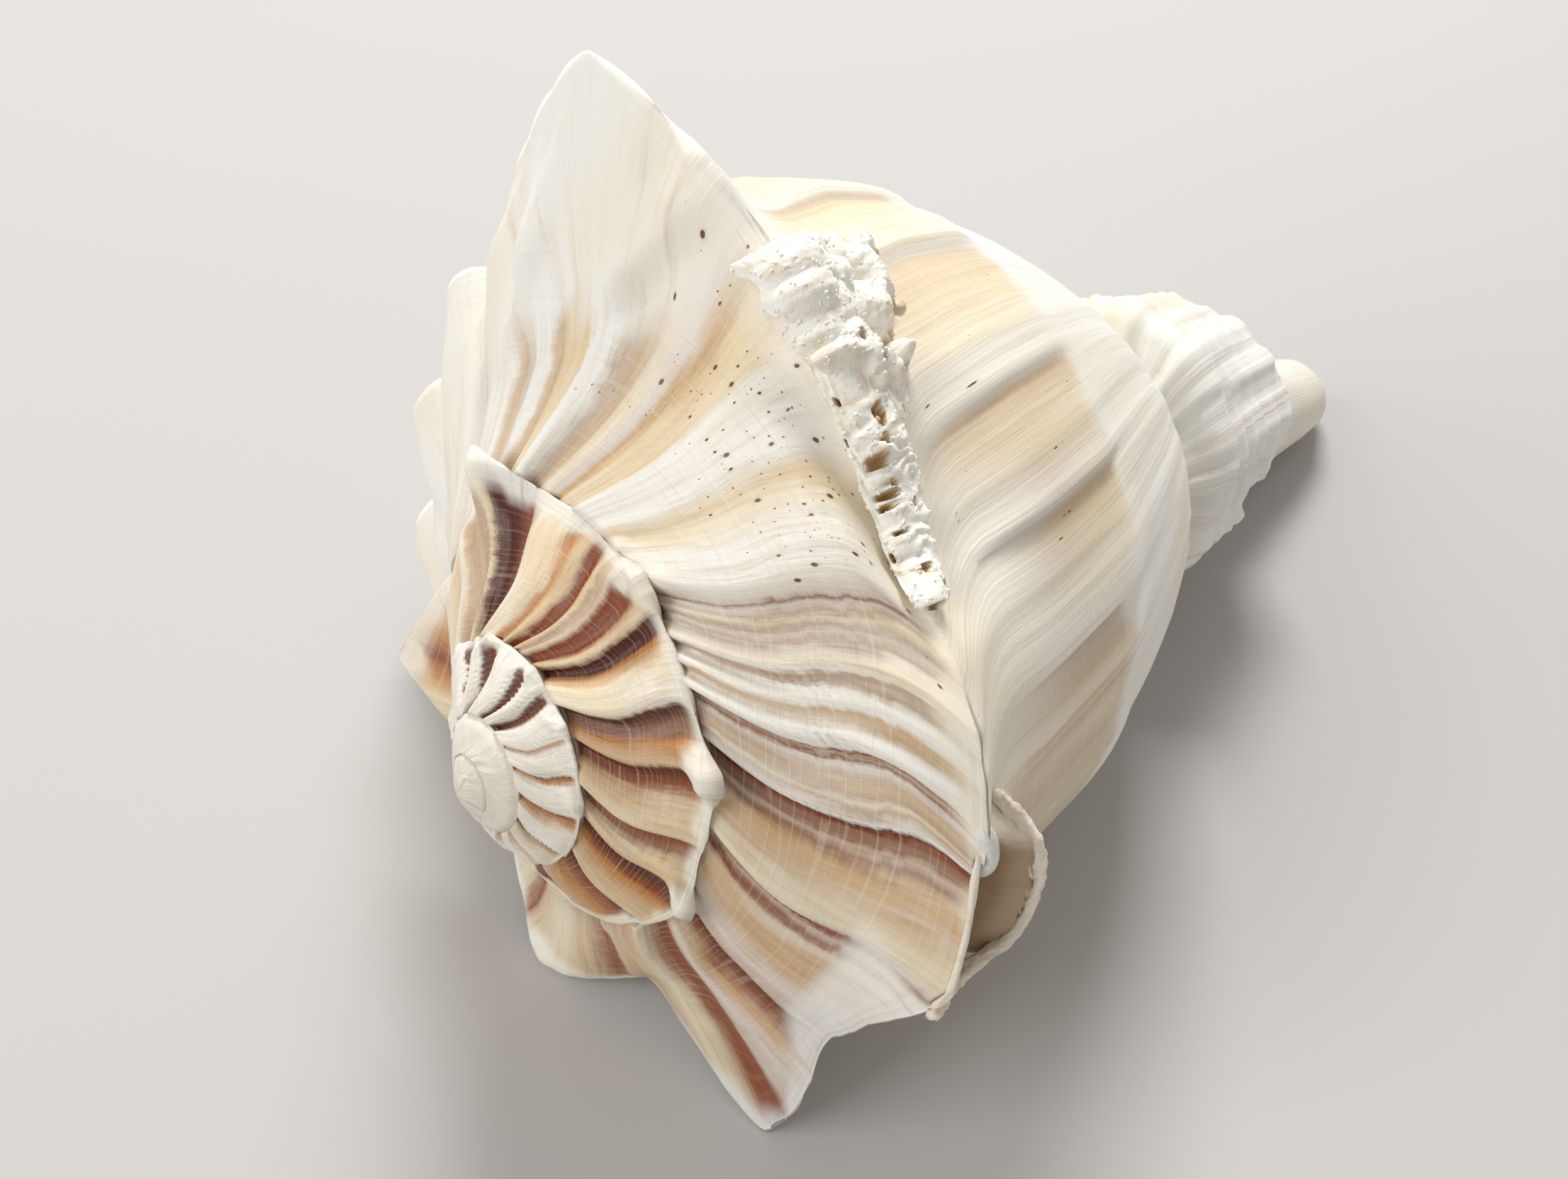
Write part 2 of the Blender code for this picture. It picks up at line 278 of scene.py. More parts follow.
    def outline(self, tau: np.ndarray, v: np.ndarray, spines: float = 1.0) -> tuple[np.ndarray, np.ndarray]:
        """Distance from the axis and from the apex on the outer surface.

        Args:
            tau: Growth angles.
            v: Places on the outline.
            spines: Share of the spines that is drawn out.

        Returns:
            The two distances, in metres.
        """
        tau, v = np.broadcast_arrays(np.asarray(tau, float), np.asarray(v, float))
        radius = self.keel_radius * self.scale(tau)
        reach, lifted = (spines * radius * share for share in self.spine_reach(tau))
        side_v = np.maximum(v, 1)
        out, down = self.side_outline(tau, side_v)
        fall = self.spine_fall(tau, side_v)
        out, down = out + reach * fall, down - lifted * fall
        before = tau + self.lead - 360
        before_radius = self.keel_radius * self.scale(before) * self.spine_fall(before, self.suture)
        before_reach, before_lifted = (before_radius * share for share in self.spine_reach(before))
        suture_out, suture_down = self.side_outline(before, np.full(tau.shape, self.suture))
        suture_out, suture_down = suture_out + before_reach, suture_down - before_lifted
        q = np.clip(v, 0, 1)
        grow = np.clip((q - self.spine_root) / (1 - self.spine_root), 0, 1) ** self.spine_shape
        slope_out = suture_out + (radius - suture_out) * q + reach * grow
        slope_down = suture_down + (self.axis_slope() * radius - suture_down) * q - lifted * grow
        return np.where(v < 1, slope_out, out), np.where(v < 1, slope_down, down)

    def placed(self, tau: np.ndarray, v: np.ndarray, out: np.ndarray, down: np.ndarray) -> np.ndarray:
        """Points in the shell's own frame: the axis is Z, with the apex at 0 and the canal below."""
        ahead = self.lead * np.clip(1 - v, 0, 1) ** self.lead_shape
        ahead = ahead + self.side_lead * np.clip(v - self.suture, 0, 1) ** self.side_lead_shape
        turn = np.radians(tau + ahead)
        bend = self.canal_bend * between(down / self.length, *self.canal_bend_span)
        toward = math.radians(self.canal_bend_toward)
        x = out * np.cos(turn) + bend * math.cos(toward)
        y = out * np.sin(turn) + bend * math.sin(toward)
        return np.stack([x, y, -down], axis=-1)

    def outer_point(self, tau: np.ndarray, v: np.ndarray) -> np.ndarray:
        """Points of the outer surface, in the shell's own frame."""
        tau, v = np.broadcast_arrays(np.asarray(tau, float), np.asarray(v, float))
        return self.placed(tau, v, *self.outline(tau, v))

    def lining_point(self, tau: np.ndarray, v: np.ndarray) -> np.ndarray:
        """Points of the lining, square in from the smooth outline by the wall's thickness."""
        tau, v = np.broadcast_arrays(np.asarray(tau, float), np.asarray(v, float))
        reach = np.where(v < 1, 0.15, 0.04)
        out_low, down_low = self.outline(tau, np.maximum(v - reach, 0.0), spines=0.0)
        out_high, down_high = self.outline(tau, np.minimum(v + reach, 2.0), spines=0.0)
        along_out, along_down = out_high - out_low, down_high - down_low
        length = np.hypot(along_out, along_down)
        out, down = self.outline(tau, v, spines=0.0)
        room = out - self.side_outline(tau - 360, np.maximum(v, 1))[0]
        wall = np.where(v < 1.02, self.wall, np.minimum(self.wall, 0.45 * np.maximum(room, 0)))
        return self.placed(tau, v, out - wall * along_down / length, down + wall * along_out / length)

    def lying(self, points: np.ndarray) -> np.ndarray:
        """Turns points from the shell's own frame to the way it lies."""
        turn = Euler([math.radians(a) for a in self.lie], "XYZ").to_matrix()
        return points @ np.array(turn).T + np.array(self.apex)

    def growth_line(self, tau: np.ndarray, v: np.ndarray) -> np.ndarray:
        """The growth line through a point, by the angle at which it meets the keel."""
        gathered = smooth_curve(tau, self.gather_angles, self.gather_shares)
        near_keel = np.clip((v - self.gather_start) / (1 - self.gather_start), 0, 1) ** self.gather_shape
        near_keel = near_keel * between(v, self.gather_end, 1.0)
        return tau + self.curl * (1 - np.clip(v, 0, 1) ** 2) ** self.curl_shape + gathered * near_keel


class Tone(Enum):
    """Colours of the shell as red, green and blue from 0 to 255, and how high the surface lies there."""

    PEARL = (247, 246, 240, 1.0)
    CREAM = (246, 236, 212, 0.7)
    IVORY = (236, 224, 196, 0.6)
    PEACH = (238, 216, 176, 0.5)
    GREY = (196, 194, 192, -0.5)
    LILAC = (229, 219, 211, 0.3)
    TAN = (216, 190, 157, 0.1)
    HONEY = (210, 172, 127, -0.1)
    OCHRE = (200, 138, 70, -0.3)
    OLIVE = (194, 176, 144, -0.1)
    MAUVE = (200, 177, 157, -0.5)
    PLUM = (150, 108, 86, -0.8)
    UMBER = (142, 72, 30, -0.8)
    DARK = (86, 28, 9, -1.0)

    def colour(self) -> Colour:
        """The colour in linear values."""
        return tuple((0.97 * part / 255.0) ** 2.2 for part in self.value[:3]) + (1.0,)

    def level(self) -> float:
        """How high the surface lies, from -1 in a groove to 1 on a ridge."""
        return self.value[3]


Stripes = tuple[tuple[float, Tone], ...]


@dataclass(frozen=True)
class Markings:
    """The stripes along the growth lines, as places and the tones there, and the growth stops."""

    early: Stripes = (
        (-900, Tone.PEARL), (-868, Tone.CREAM), (-862, Tone.OCHRE), (-858, Tone.PEARL), (-836, Tone.PEARL),
        (-829, Tone.OCHRE), (-826, Tone.PEARL), (-812, Tone.PEARL), (-806, Tone.HONEY), (-803, Tone.PEARL),
        (-790, Tone.IVORY), (-785, Tone.UMBER), (-781, Tone.DARK), (-780, Tone.PEARL),
        (-762, Tone.PEARL), (-757, Tone.OCHRE), (-753, Tone.UMBER), (-750, Tone.OCHRE), (-749, Tone.PEARL),
        (-731, Tone.PEARL), (-728.5, Tone.OCHRE), (-726, Tone.UMBER), (-725, Tone.PEARL), (-710, Tone.PEARL),
        (-707, Tone.OCHRE), (-706, Tone.PEARL), (-690, Tone.PEARL), (-687, Tone.UMBER), (-682, Tone.DARK),
        (-681, Tone.PEARL), (-671, Tone.PEARL), (-669, Tone.UMBER), (-665.5, Tone.DARK), (-664.5, Tone.PEARL),
        (-647, Tone.PEARL), (-640, Tone.UMBER), (-634, Tone.DARK), (-633, Tone.PEARL), (-624, Tone.PEARL),
        (-617, Tone.PLUM), (-612.5, Tone.DARK), (-611.5, Tone.PEARL), (-590, Tone.PEARL), (-578, Tone.GREY),
        (-572, Tone.PLUM), (-571, Tone.PEARL), (-545, Tone.IVORY), (-535, Tone.PLUM), (-530, Tone.TAN),
    )
    penultimate: Stripes = (
        (-515, Tone.IVORY), (-505, Tone.TAN), (-494, Tone.UMBER), (-484, Tone.DARK), (-478, Tone.UMBER),
        (-470, Tone.TAN), (-455, Tone.OCHRE), (-446, Tone.UMBER), (-441, Tone.DARK), (-436.5, Tone.DARK),
        (-435, Tone.IVORY), (-425, Tone.TAN), (-419, Tone.OCHRE), (-416.5, Tone.UMBER), (-413.5, Tone.DARK),
        (-409.5, Tone.DARK), (-408, Tone.TAN), (-400, Tone.IVORY), (-397.5, Tone.PLUM), (-391.5, Tone.UMBER),
        (-390, Tone.IVORY), (-379, Tone.TAN), (-375, Tone.UMBER), (-369, Tone.DARK), (-367.5, Tone.TAN),
        (-361, Tone.OCHRE), (-359, Tone.PLUM), (-352.5, Tone.DARK), (-351, Tone.PEARL), (-341, Tone.CREAM),
        (-336.5, Tone.OCHRE), (-335, Tone.DARK), (-331.5, Tone.DARK), (-330, Tone.IVORY), (-327, Tone.TAN),
        (-325.5, Tone.UMBER), (-320.5, Tone.UMBER), (-319, Tone.LILAC), (-315, Tone.MAUVE),
        (-314, Tone.IVORY),
        (-312, Tone.TAN), (-311, Tone.UMBER), (-307.5, Tone.UMBER), (-306, Tone.IVORY), (-300, Tone.OCHRE),
        (-298, Tone.CREAM), (-288, Tone.PEARL), (-284, Tone.TAN), (-281.5, Tone.UMBER), (-274, Tone.DARK),
        (-267.5, Tone.DARK), (-266, Tone.CREAM), (-262, Tone.MAUVE), (-252.5, Tone.MAUVE), (-251, Tone.PEARL),
        (-246, Tone.PEARL), (-243, Tone.PLUM), (-239, Tone.MAUVE), (-234, Tone.IVORY), (-222, Tone.PEARL),
        (-214, Tone.TAN), (-208, Tone.OCHRE), (-202, Tone.UMBER), (-198, Tone.OCHRE), (-194, Tone.IVORY),
    )
    body: Stripes = (
        (-188, Tone.TAN), (-180, Tone.CREAM), (-165, Tone.HONEY), (-160, Tone.TAN), (-150, Tone.IVORY),
        (-146, Tone.UMBER), (-144, Tone.TAN), (-136, Tone.IVORY), (-128, Tone.TAN), (-122.6, Tone.UMBER),
        (-120.4, Tone.UMBER), (-119, Tone.TAN), (-110, Tone.HONEY), (-106, Tone.TAN), (-99, Tone.IVORY),
        (-94, Tone.UMBER), (-90, Tone.UMBER), (-88.6, Tone.MAUVE), (-84, Tone.LILAC), (-80, Tone.HONEY),
        (-77.5, Tone.UMBER), (-74.2, Tone.DARK), (-72.8, Tone.MAUVE), (-66, Tone.LILAC), (-60, Tone.HONEY),
        (-52, Tone.TAN), (-50.5, Tone.UMBER), (-49, Tone.MAUVE), (-47.5, Tone.UMBER), (-46.4, Tone.UMBER),
        (-45, Tone.LILAC), (-42, Tone.IVORY),
        (-36.5, Tone.TAN), (-31, Tone.HONEY), (-29, Tone.PLUM), (-27.6, Tone.MAUVE), (-26.4, Tone.PLUM),
        (-25, Tone.PLUM), (-23.9, Tone.UMBER), (-23.2, Tone.DARK), (-22, Tone.PEARL),
        (-20.7, Tone.LILAC), (-19.6, Tone.MAUVE), (-18.4, Tone.IVORY), (-17.3, Tone.MAUVE), (-15.8, Tone.TAN),
        (-14.6, Tone.MAUVE), (-13.2, Tone.LILAC), (-12.2, Tone.PLUM), (-11.3, Tone.MAUVE),
        (-10.5, Tone.UMBER),
        (-9.8, Tone.PEARL), (-6.5, Tone.PEARL), (-5, Tone.TAN), (-3.6, Tone.TAN), (-2.8, Tone.PEARL),
        (-0.5, Tone.PEARL), (0.4, Tone.MAUVE), (1.8, Tone.MAUVE), (2.6, Tone.PEARL), (4.2, Tone.CREAM),
        (6, Tone.LILAC), (7, Tone.MAUVE), (8.2, Tone.LILAC), (9.4, Tone.MAUVE), (10.4, Tone.IVORY),
        (11.5, Tone.MAUVE), (12.6, Tone.LILAC), (13.5, Tone.PLUM), (14.2, Tone.LILAC), (17.5, Tone.PEARL),
        (23, Tone.PEARL), (27, Tone.CREAM), (31, Tone.PEACH), (34, Tone.PEARL), (43, Tone.PEARL),
        (45, Tone.PEACH), (49, Tone.PEACH), (52.4, Tone.HONEY), (53.6, Tone.LILAC), (56.5, Tone.CREAM),
        (60, Tone.TAN), (64.5, Tone.MAUVE), (66, Tone.PEARL), (70, Tone.PEARL), (71.5, Tone.PEACH),
        (76, Tone.PEACH), (80.5, Tone.TAN), (81.5, Tone.PEARL), (83.5, Tone.PEARL), (86, Tone.LILAC),
        # The lilac at 106, between pearl at 100 and 112, is a painted shadow: a bluish shade across the body
        # whorl.
        (90, Tone.TAN), (91.5, Tone.PEARL), (100, Tone.PEARL), (106, Tone.LILAC), (112, Tone.PEARL),
        (143, Tone.CREAM), (145.5, Tone.HONEY), (147.5, Tone.CREAM), (151, Tone.PEARL), (165, Tone.CREAM),
    )
    side: Stripes = (
        (-205, Tone.CREAM), (-190, Tone.PEACH), (-176, Tone.TAN), (-174.5, Tone.PEARL), (-165, Tone.CREAM),
        (-143, Tone.OLIVE), (-141.8, Tone.PEARL), (-135, Tone.CREAM), (-112, Tone.TAN), (-105, Tone.OLIVE),
        (-103.5, Tone.PEARL), (-98, Tone.CREAM), (-80, Tone.TAN), (-76.5, Tone.MAUVE), (-75.5, Tone.PEARL),
        (-70, Tone.CREAM), (-56, Tone.TAN), (-48.5, Tone.MAUVE), (-42, Tone.OLIVE), (-30, Tone.OLIVE),
        (-21, Tone.TAN), (-19.4, Tone.UMBER), (-18.6, Tone.IVORY), (-15, Tone.TAN), (-12, Tone.MAUVE),
        (-9.8, Tone.PLUM), (-9.2, Tone.PEARL), (-6, Tone.PEARL), (0, Tone.CREAM), (5, Tone.PEACH),
        (8.6, Tone.HONEY), (9.5, Tone.MAUVE), (10, Tone.PEARL), (13, Tone.LILAC), (17, Tone.PEACH),
        (24.4, Tone.TAN), (25.3, Tone.HONEY), (25.8, Tone.PEARL), (31, Tone.PEARL), (33, Tone.CREAM),
        (40, Tone.PEACH), (45.5, Tone.TAN), (46.5, Tone.PEARL), (51, Tone.CREAM), (59.6, Tone.PEACH),
        (60.5, Tone.MAUVE), (61, Tone.PEARL), (70, Tone.CREAM), (83, Tone.TAN), (84.5, Tone.PEARL),
        (95, Tone.CREAM), (107, Tone.PEACH), (108.5, Tone.PEARL), (120, Tone.CREAM), (132, Tone.TAN),
        (133.5, Tone.PEARL), (150, Tone.CREAM), (165, Tone.PEACH),
    )
    stops: tuple[float, ...] = (-178, -142, -104, -76, -48, -19, -9.5, 9.8, 25.5, 46.5, 60.5, 84, 108, 133)

    def shoulder(self) -> Stripes:
        """The stripes of the shoulder, from the first whorl to the lip."""
        return self.early + self.penultimate + self.body

    def level(self, stripes: Stripes, line: np.ndarray, blur: float) -> np.ndarray:
        """How high the surface lies at a growth line, from -1 to 1, softened over blur degrees."""
        grid = np.arange(stripes[0][0], stripes[-1][0], 0.25)
        heights = np.interp(grid, [place for place, _ in stripes], [tone.level() for _, tone in stripes])
        reach = np.arange(-3 * blur, 3 * blur + 0.01, 0.25)
        kernel = np.exp(-0.5 * (reach / blur) ** 2)
        padded = np.pad(heights, len(reach) // 2, mode="edge")
        soft = np.convolve(padded, kernel / kernel.sum(), mode="valid")[: len(grid)]
        return np.interp(line, grid, soft)

    def overlap(self, line: np.ndarray) -> np.ndarray:
        """Share of the way from the last growth stop to the next one, 0 just past a stop."""
        stops = np.array(self.stops)
        i = np.clip(np.searchsorted(stops, line, side="right") - 1, 0, len(stops) - 2)
        return np.clip((line - stops[i]) / (stops[i + 1] - stops[i]), 0, 1)

    def past_stop(self, line: np.ndarray) -> np.ndarray:
        """Degrees since the last growth stop."""
        stops = np.array(self.stops)
        i = np.clip(np.searchsorted(stops, line, side="right") - 1, 0, len(stops) - 1)
        return line - stops[i]


@dataclass(frozen=True)
class Knob:
    """A rounded hill on the surface: its place, height in metres, and half widths."""

    angle: float
    place: float
    height: float
    half_angle: float
    half_place: float


@dataclass(frozen=True)
class Relief:
    """Heights of what stands out of the smooth surface or is sunk in it, in metres."""

    growth: Growth
    markings: Markings
    trench: tuple[float, float] = (-45.5, -22.5)
    trench_depth: float = 0.0070
    fold_height: float = 0.0017
    dip_angles: tuple[float, ...] = (-2000.0, -12.0, 0.0, 8.0, 15.0, 22.0, 28.0, 34.0, 40.0, 46.0, 161.0)
    dip_depths: tuple[float, ...] = (
        0.0, 0.0, 0.0016, 0.0046, 0.0062, 0.0060, 0.0042, 0.0024, 0.0010, 0.0, 0.0,
    )
    dip_width: float = 0.30
    dip_side_width: float = 0.16
    axis_mark: float = 0.06
    outward_rise: float = 0.25
    step_angle: float = 0.4
    step_place: float = 0.004
    swell_height: float = 0.00030
    hair_height: float = 0.00007
    layer_height: float = 0.0010
    cord_count: float = 24.0
    cord_height: float = 0.00005
    collar_first: float = 1.60
    collar_spacing: float = 0.026
    collar_height: float = 0.00065
    collar_fold: float = 0.0011
    canal_roughness: float = 0.0005
    trench_half_width: float = 0.044
    wall_height: float = 0.0052
    wall_place: float = 1.062
    wall_half_width: float = 0.024
    knobs: tuple[Knob, ...] = (
        Knob(-411, 0.97, 0.0016, 8, 0.22),
        Knob(-370, 0.97, 0.0018, 9, 0.24),
        Knob(-324, 0.97, 0.0016, 9, 0.24),
        Knob(-265, 0.97, 0.0012, 13, 0.2),
        Knob(-740, 0.95, 0.0007, 9, 0.2),
        Knob(-700, 0.95, 0.0006, 8, 0.2),
        Knob(-670, 0.95, 0.0007, 9, 0.2),
        Knob(-637, 0.95, 0.0008, 10, 0.2),
        Knob(-600, 0.95, 0.0008, 10, 0.2),
        Knob(-560, 0.95, 0.0009, 10, 0.2),
        Knob(-14, 0.07, 0.0014, 5, 0.07),
        Knob(-4, 0.04, 0.0008, 6, 0.05),
        Knob(-64, 0.03, 0.0008, 4, 0.05),
        Knob(-107, 0.05, 0.0012, 6, 0.06),
        Knob(-138, 1.0, 0.0012, 12, 0.1),
        Knob(58, 0.86, 0.0022, 5, 0.28),
        Knob(76, 0.70, 0.0020, 5, 0.28),
        Knob(88, 0.80, 0.0012, 4, 0.18),
    )

    def ridges(self, tau: np.ndarray, v: np.ndarray) -> np.ndarray:
        """Growth ridges: pale ones stand up, dark ones are sunk, and finer ones lie between."""
        line = self.growth.growth_line(tau, v)
        size = self.growth.scale(tau)
        wander = 1.2 * noise(line / 20.0, v * 3.0, 10)
        shoulder = self.markings.level(self.markings.shoulder(), line + wander, 1.0)
        side = self.markings.level(self.markings.side, line + wander, 1.0) * between(v, 1.5, 1.2)
        fold = np.where(v < 1, shoulder, shoulder + (0.35 * side - shoulder) * between(v, 1.0, 1.06))
        fold = fold * (0.25 + 0.75 * between(np.abs(v - 1.0), 0.0, 0.25))
        soft = noise(line / 9.0, v * 1.5, 11) + 0.6 * noise(line / 3.6, v * 2.0, 12)
        fine = noise(line / 1.6, v * 3.0, 13)
        fade = np.where(v < 1, 1.0, between(v, 1.75, 1.4))
        height = self.fold_height * fold + self.swell_height * soft + self.hair_height * fine
        return height * size**0.6 * fade

    def hills(self, tau: np.ndarray, v: np.ndarray) -> np.ndarray:
        """Knobs on the keel and callus on the suture."""
        total = np.zeros_like(tau)
        for knob in self.knobs:
            rough = 1.0 + 0.25 * noise(tau / 2.5, v * 14.0, 15)
            hill = bump_at(tau, knob.angle, knob.half_angle) * bump_at(v, knob.place, knob.half_place)
            total = np.maximum(total, knob.height * hill * rough)
        return total

    def dip(self, tau: np.ndarray, v: np.ndarray) -> np.ndarray:
        """How much lower the keel is worn under the crust."""
        wide = np.where(v < 1, bump_at(v, 1.0, self.dip_width), bump_at(v, 1.0, self.dip_side_width))
        return -smooth_curve(tau, self.dip_angles, self.dip_depths) * wide

    def layers(self, tau: np.ndarray, v: np.ndarray) -> np.ndarray:
        """Layers of the side that end in a free edge over the one before."""
        line = self.growth.growth_line(tau, v)
        step = between(self.markings.past_stop(line), 0.0, 0.8) * (1 - self.markings.overlap(line)) ** 0.8
        lower = 1.30 + 0.03 * noise(tau / 7.0, np.zeros_like(tau), 16)
        where = between(v, 1.05, 1.13) * between(v - lower, 0.02, -0.04) + 0.25 * between(v, 1.0, 0.93)
        return self.layer_height * step * where * (tau > -190)

    def cords(self, tau: np.ndarray, v: np.ndarray) -> np.ndarray:
        """Fine spiral cords, and the strong ones with folds across them on the collar."""
        wave = 0.5 + 0.5 * np.cos(2 * math.pi * (v * self.cord_count + 0.25 * noise(tau / 30.0, v * 3, 21)))
        slope = self.cord_height * wave**4 * (v < 1.0)
        end = smooth_curve(tau, self.growth.collar_angles, self.growth.collar_ends)
        inside = between(v, self.collar_first, 1.66) * between(v, end + 0.01, end - 0.01) * (tau > -200)
        warp = 0.006 * noise(tau / 9.0, v * 6, 22)
        collar = 0.5 + 0.5 * np.cos(2 * math.pi * (v + warp - self.collar_first) / self.collar_spacing)
        folds = noise(tau / 10.0, v * 3, 23) + 0.5 * noise(tau / 4.5, v * 5, 24)
        tip = self.canal_roughness * noise(tau / 40.0, v * 22.0, 25) * between(v, end, end + 0.02)
        return slope + inside * (self.collar_height * collar**0.7 + self.collar_fold * folds) + tip

    def broken_spine(self, tau: np.ndarray, v: np.ndarray) -> np.ndarray:
        """The open trench of the broken spine."""
        start, end = self.trench
        along = between(tau, start - 1.0, start + 2.5) * between(tau, end, end - 2.5)
        share = between(tau, end, start)
        middle = 1.000 + 0.008 * share
        off = np.abs(v - middle) / self.trench_half_width
        return -self.trench_depth * along * between(off, 1.0, 0.66)

    def inward(self, tau: np.ndarray, v: np.ndarray) -> np.ndarray:
        """What is worn or broken away towards the shell's axis."""
        return self.dip(tau, v) + self.broken_spine(tau, v)

    def spine_wall(self, tau: np.ndarray, v: np.ndarray) -> np.ndarray:
        """The wall that stands on the side of the broken spine, with a rough crest."""
        along = between(tau, -46.0, -41.0) * between(tau, -19.0, -24.0)
        crest = bump_at(v, self.wall_place, self.wall_half_width) ** 0.7
        return self.wall_height * along * crest * (1 + 0.12 * noise(tau / 1.3, v * 20, 33))

    def outward(self, tau: np.ndarray, v: np.ndarray) -> np.ndarray:
        """Directions away from the axis and a little up it."""
        growth = self.growth
        down = np.full(tau.shape, self.axis_mark)
        raised = growth.placed(tau, v, np.ones_like(tau), down)
        away = raised - growth.placed(tau, v, np.zeros_like(tau), down)
        away[..., 2] += self.outward_rise
        return growth.lying(away) - growth.lying(np.zeros_like(away))

    def surface(self, tau: np.ndarray, v: np.ndarray) -> tuple[np.ndarray, np.ndarray]:
        """Points of the finished outer surface and the directions straight out of it."""
        growth = self.growth

        def point(angle: np.ndarray, place: np.ndarray) -> np.ndarray:
            """The smooth outer surface, the way the shell lies."""
            return growth.lying(growth.outer_point(angle, place))

        base = point(tau, v)
        along = point(tau + self.step_angle, v) - point(tau - self.step_angle, v)
        across = point(tau, v + self.step_place) - point(tau, v - self.step_place)
        normal = np.cross(across, along)
        normal /= np.linalg.norm(normal, axis=-1, keepdims=True)
        axis = growth.lying(growth.placed(tau, v, np.zeros_like(tau), np.full(tau.shape, self.axis_mark)))
        normal *= np.sign((normal * (base - axis)).sum(-1))[..., None]
        moved = base + normal * self.height(tau, v)[..., None]
        return moved + self.outward(tau, v) * self.inward(tau, v)[..., None], normal

    def height(self, tau: np.ndarray, v: np.ndarray) -> np.ndarray:
        """All reliefs of the outer surface together."""
        on_show = (v > 0.002) | (tau > 0)
        total = self.ridges(tau, v) + self.hills(tau, v) + self.layers(tau, v) + self.cords(tau, v)
        total = total + self.spine_wall(tau, v)
        return total * on_show * between(v, 2.0, 1.93)


class Net:
    """Points and faces of the shell, joined where a whorl meets the one before it."""

    def __init__(self) -> None:
        """Starts an empty net."""
        self.points: list[np.ndarray] = []
        self.marks: list[np.ndarray] = []
        self.faces: list[list[int]] = []
        self.count = 0

    def add_row(self, points: np.ndarray, tau: float, v: np.ndarray, zone: Zone) -> list[int]:
        """Adds a growth line of points.

        Args:
            points: Their places.
            tau: Growth angle of the line.
            v: Places on the outline.
            zone: Outside or lining.

        Returns:
            The numbers of the points.
        """
        first = self.count
        self.points.append(points)
        marks = np.empty((len(points), 3))
        marks[:, 0], marks[:, 1], marks[:, 2] = tau, v, zone.value
        self.marks.append(marks)
        self.count += len(points)
        return list(range(first, self.count))

    def add_face(self, *corners: int) -> None:
        """Adds a face, leaving out a corner that repeats."""
        kept = [c for i, c in enumerate(corners) if c != corners[i - 1]]
        if len(set(kept)) > 2:
            self.faces.append(kept)

    def strip(self, first: list[int], second: list[int], flip: bool = False) -> None:
        """Fills the space between two lines of the same number of points."""
        for a, b, c, d in zip(first, first[1:], second[1:], second):
            self.add_face(*((a, d, c, b) if flip else (a, b, c, d)))

    def zip_lines(self, first: list[int], second: list[int]) -> None:
        """Fills the space between two lines of any number of points that start at one point."""
        i = j = 0
        while i < len(first) - 1 or j < len(second) - 1:
            if j == len(second) - 1 or (i < len(first) - 1 and i * len(second) <= j * len(first)):
                self.add_face(first[i], first[i + 1], second[j])
                i += 1
            else:
                self.add_face(first[i], second[j + 1], second[j])
                j += 1


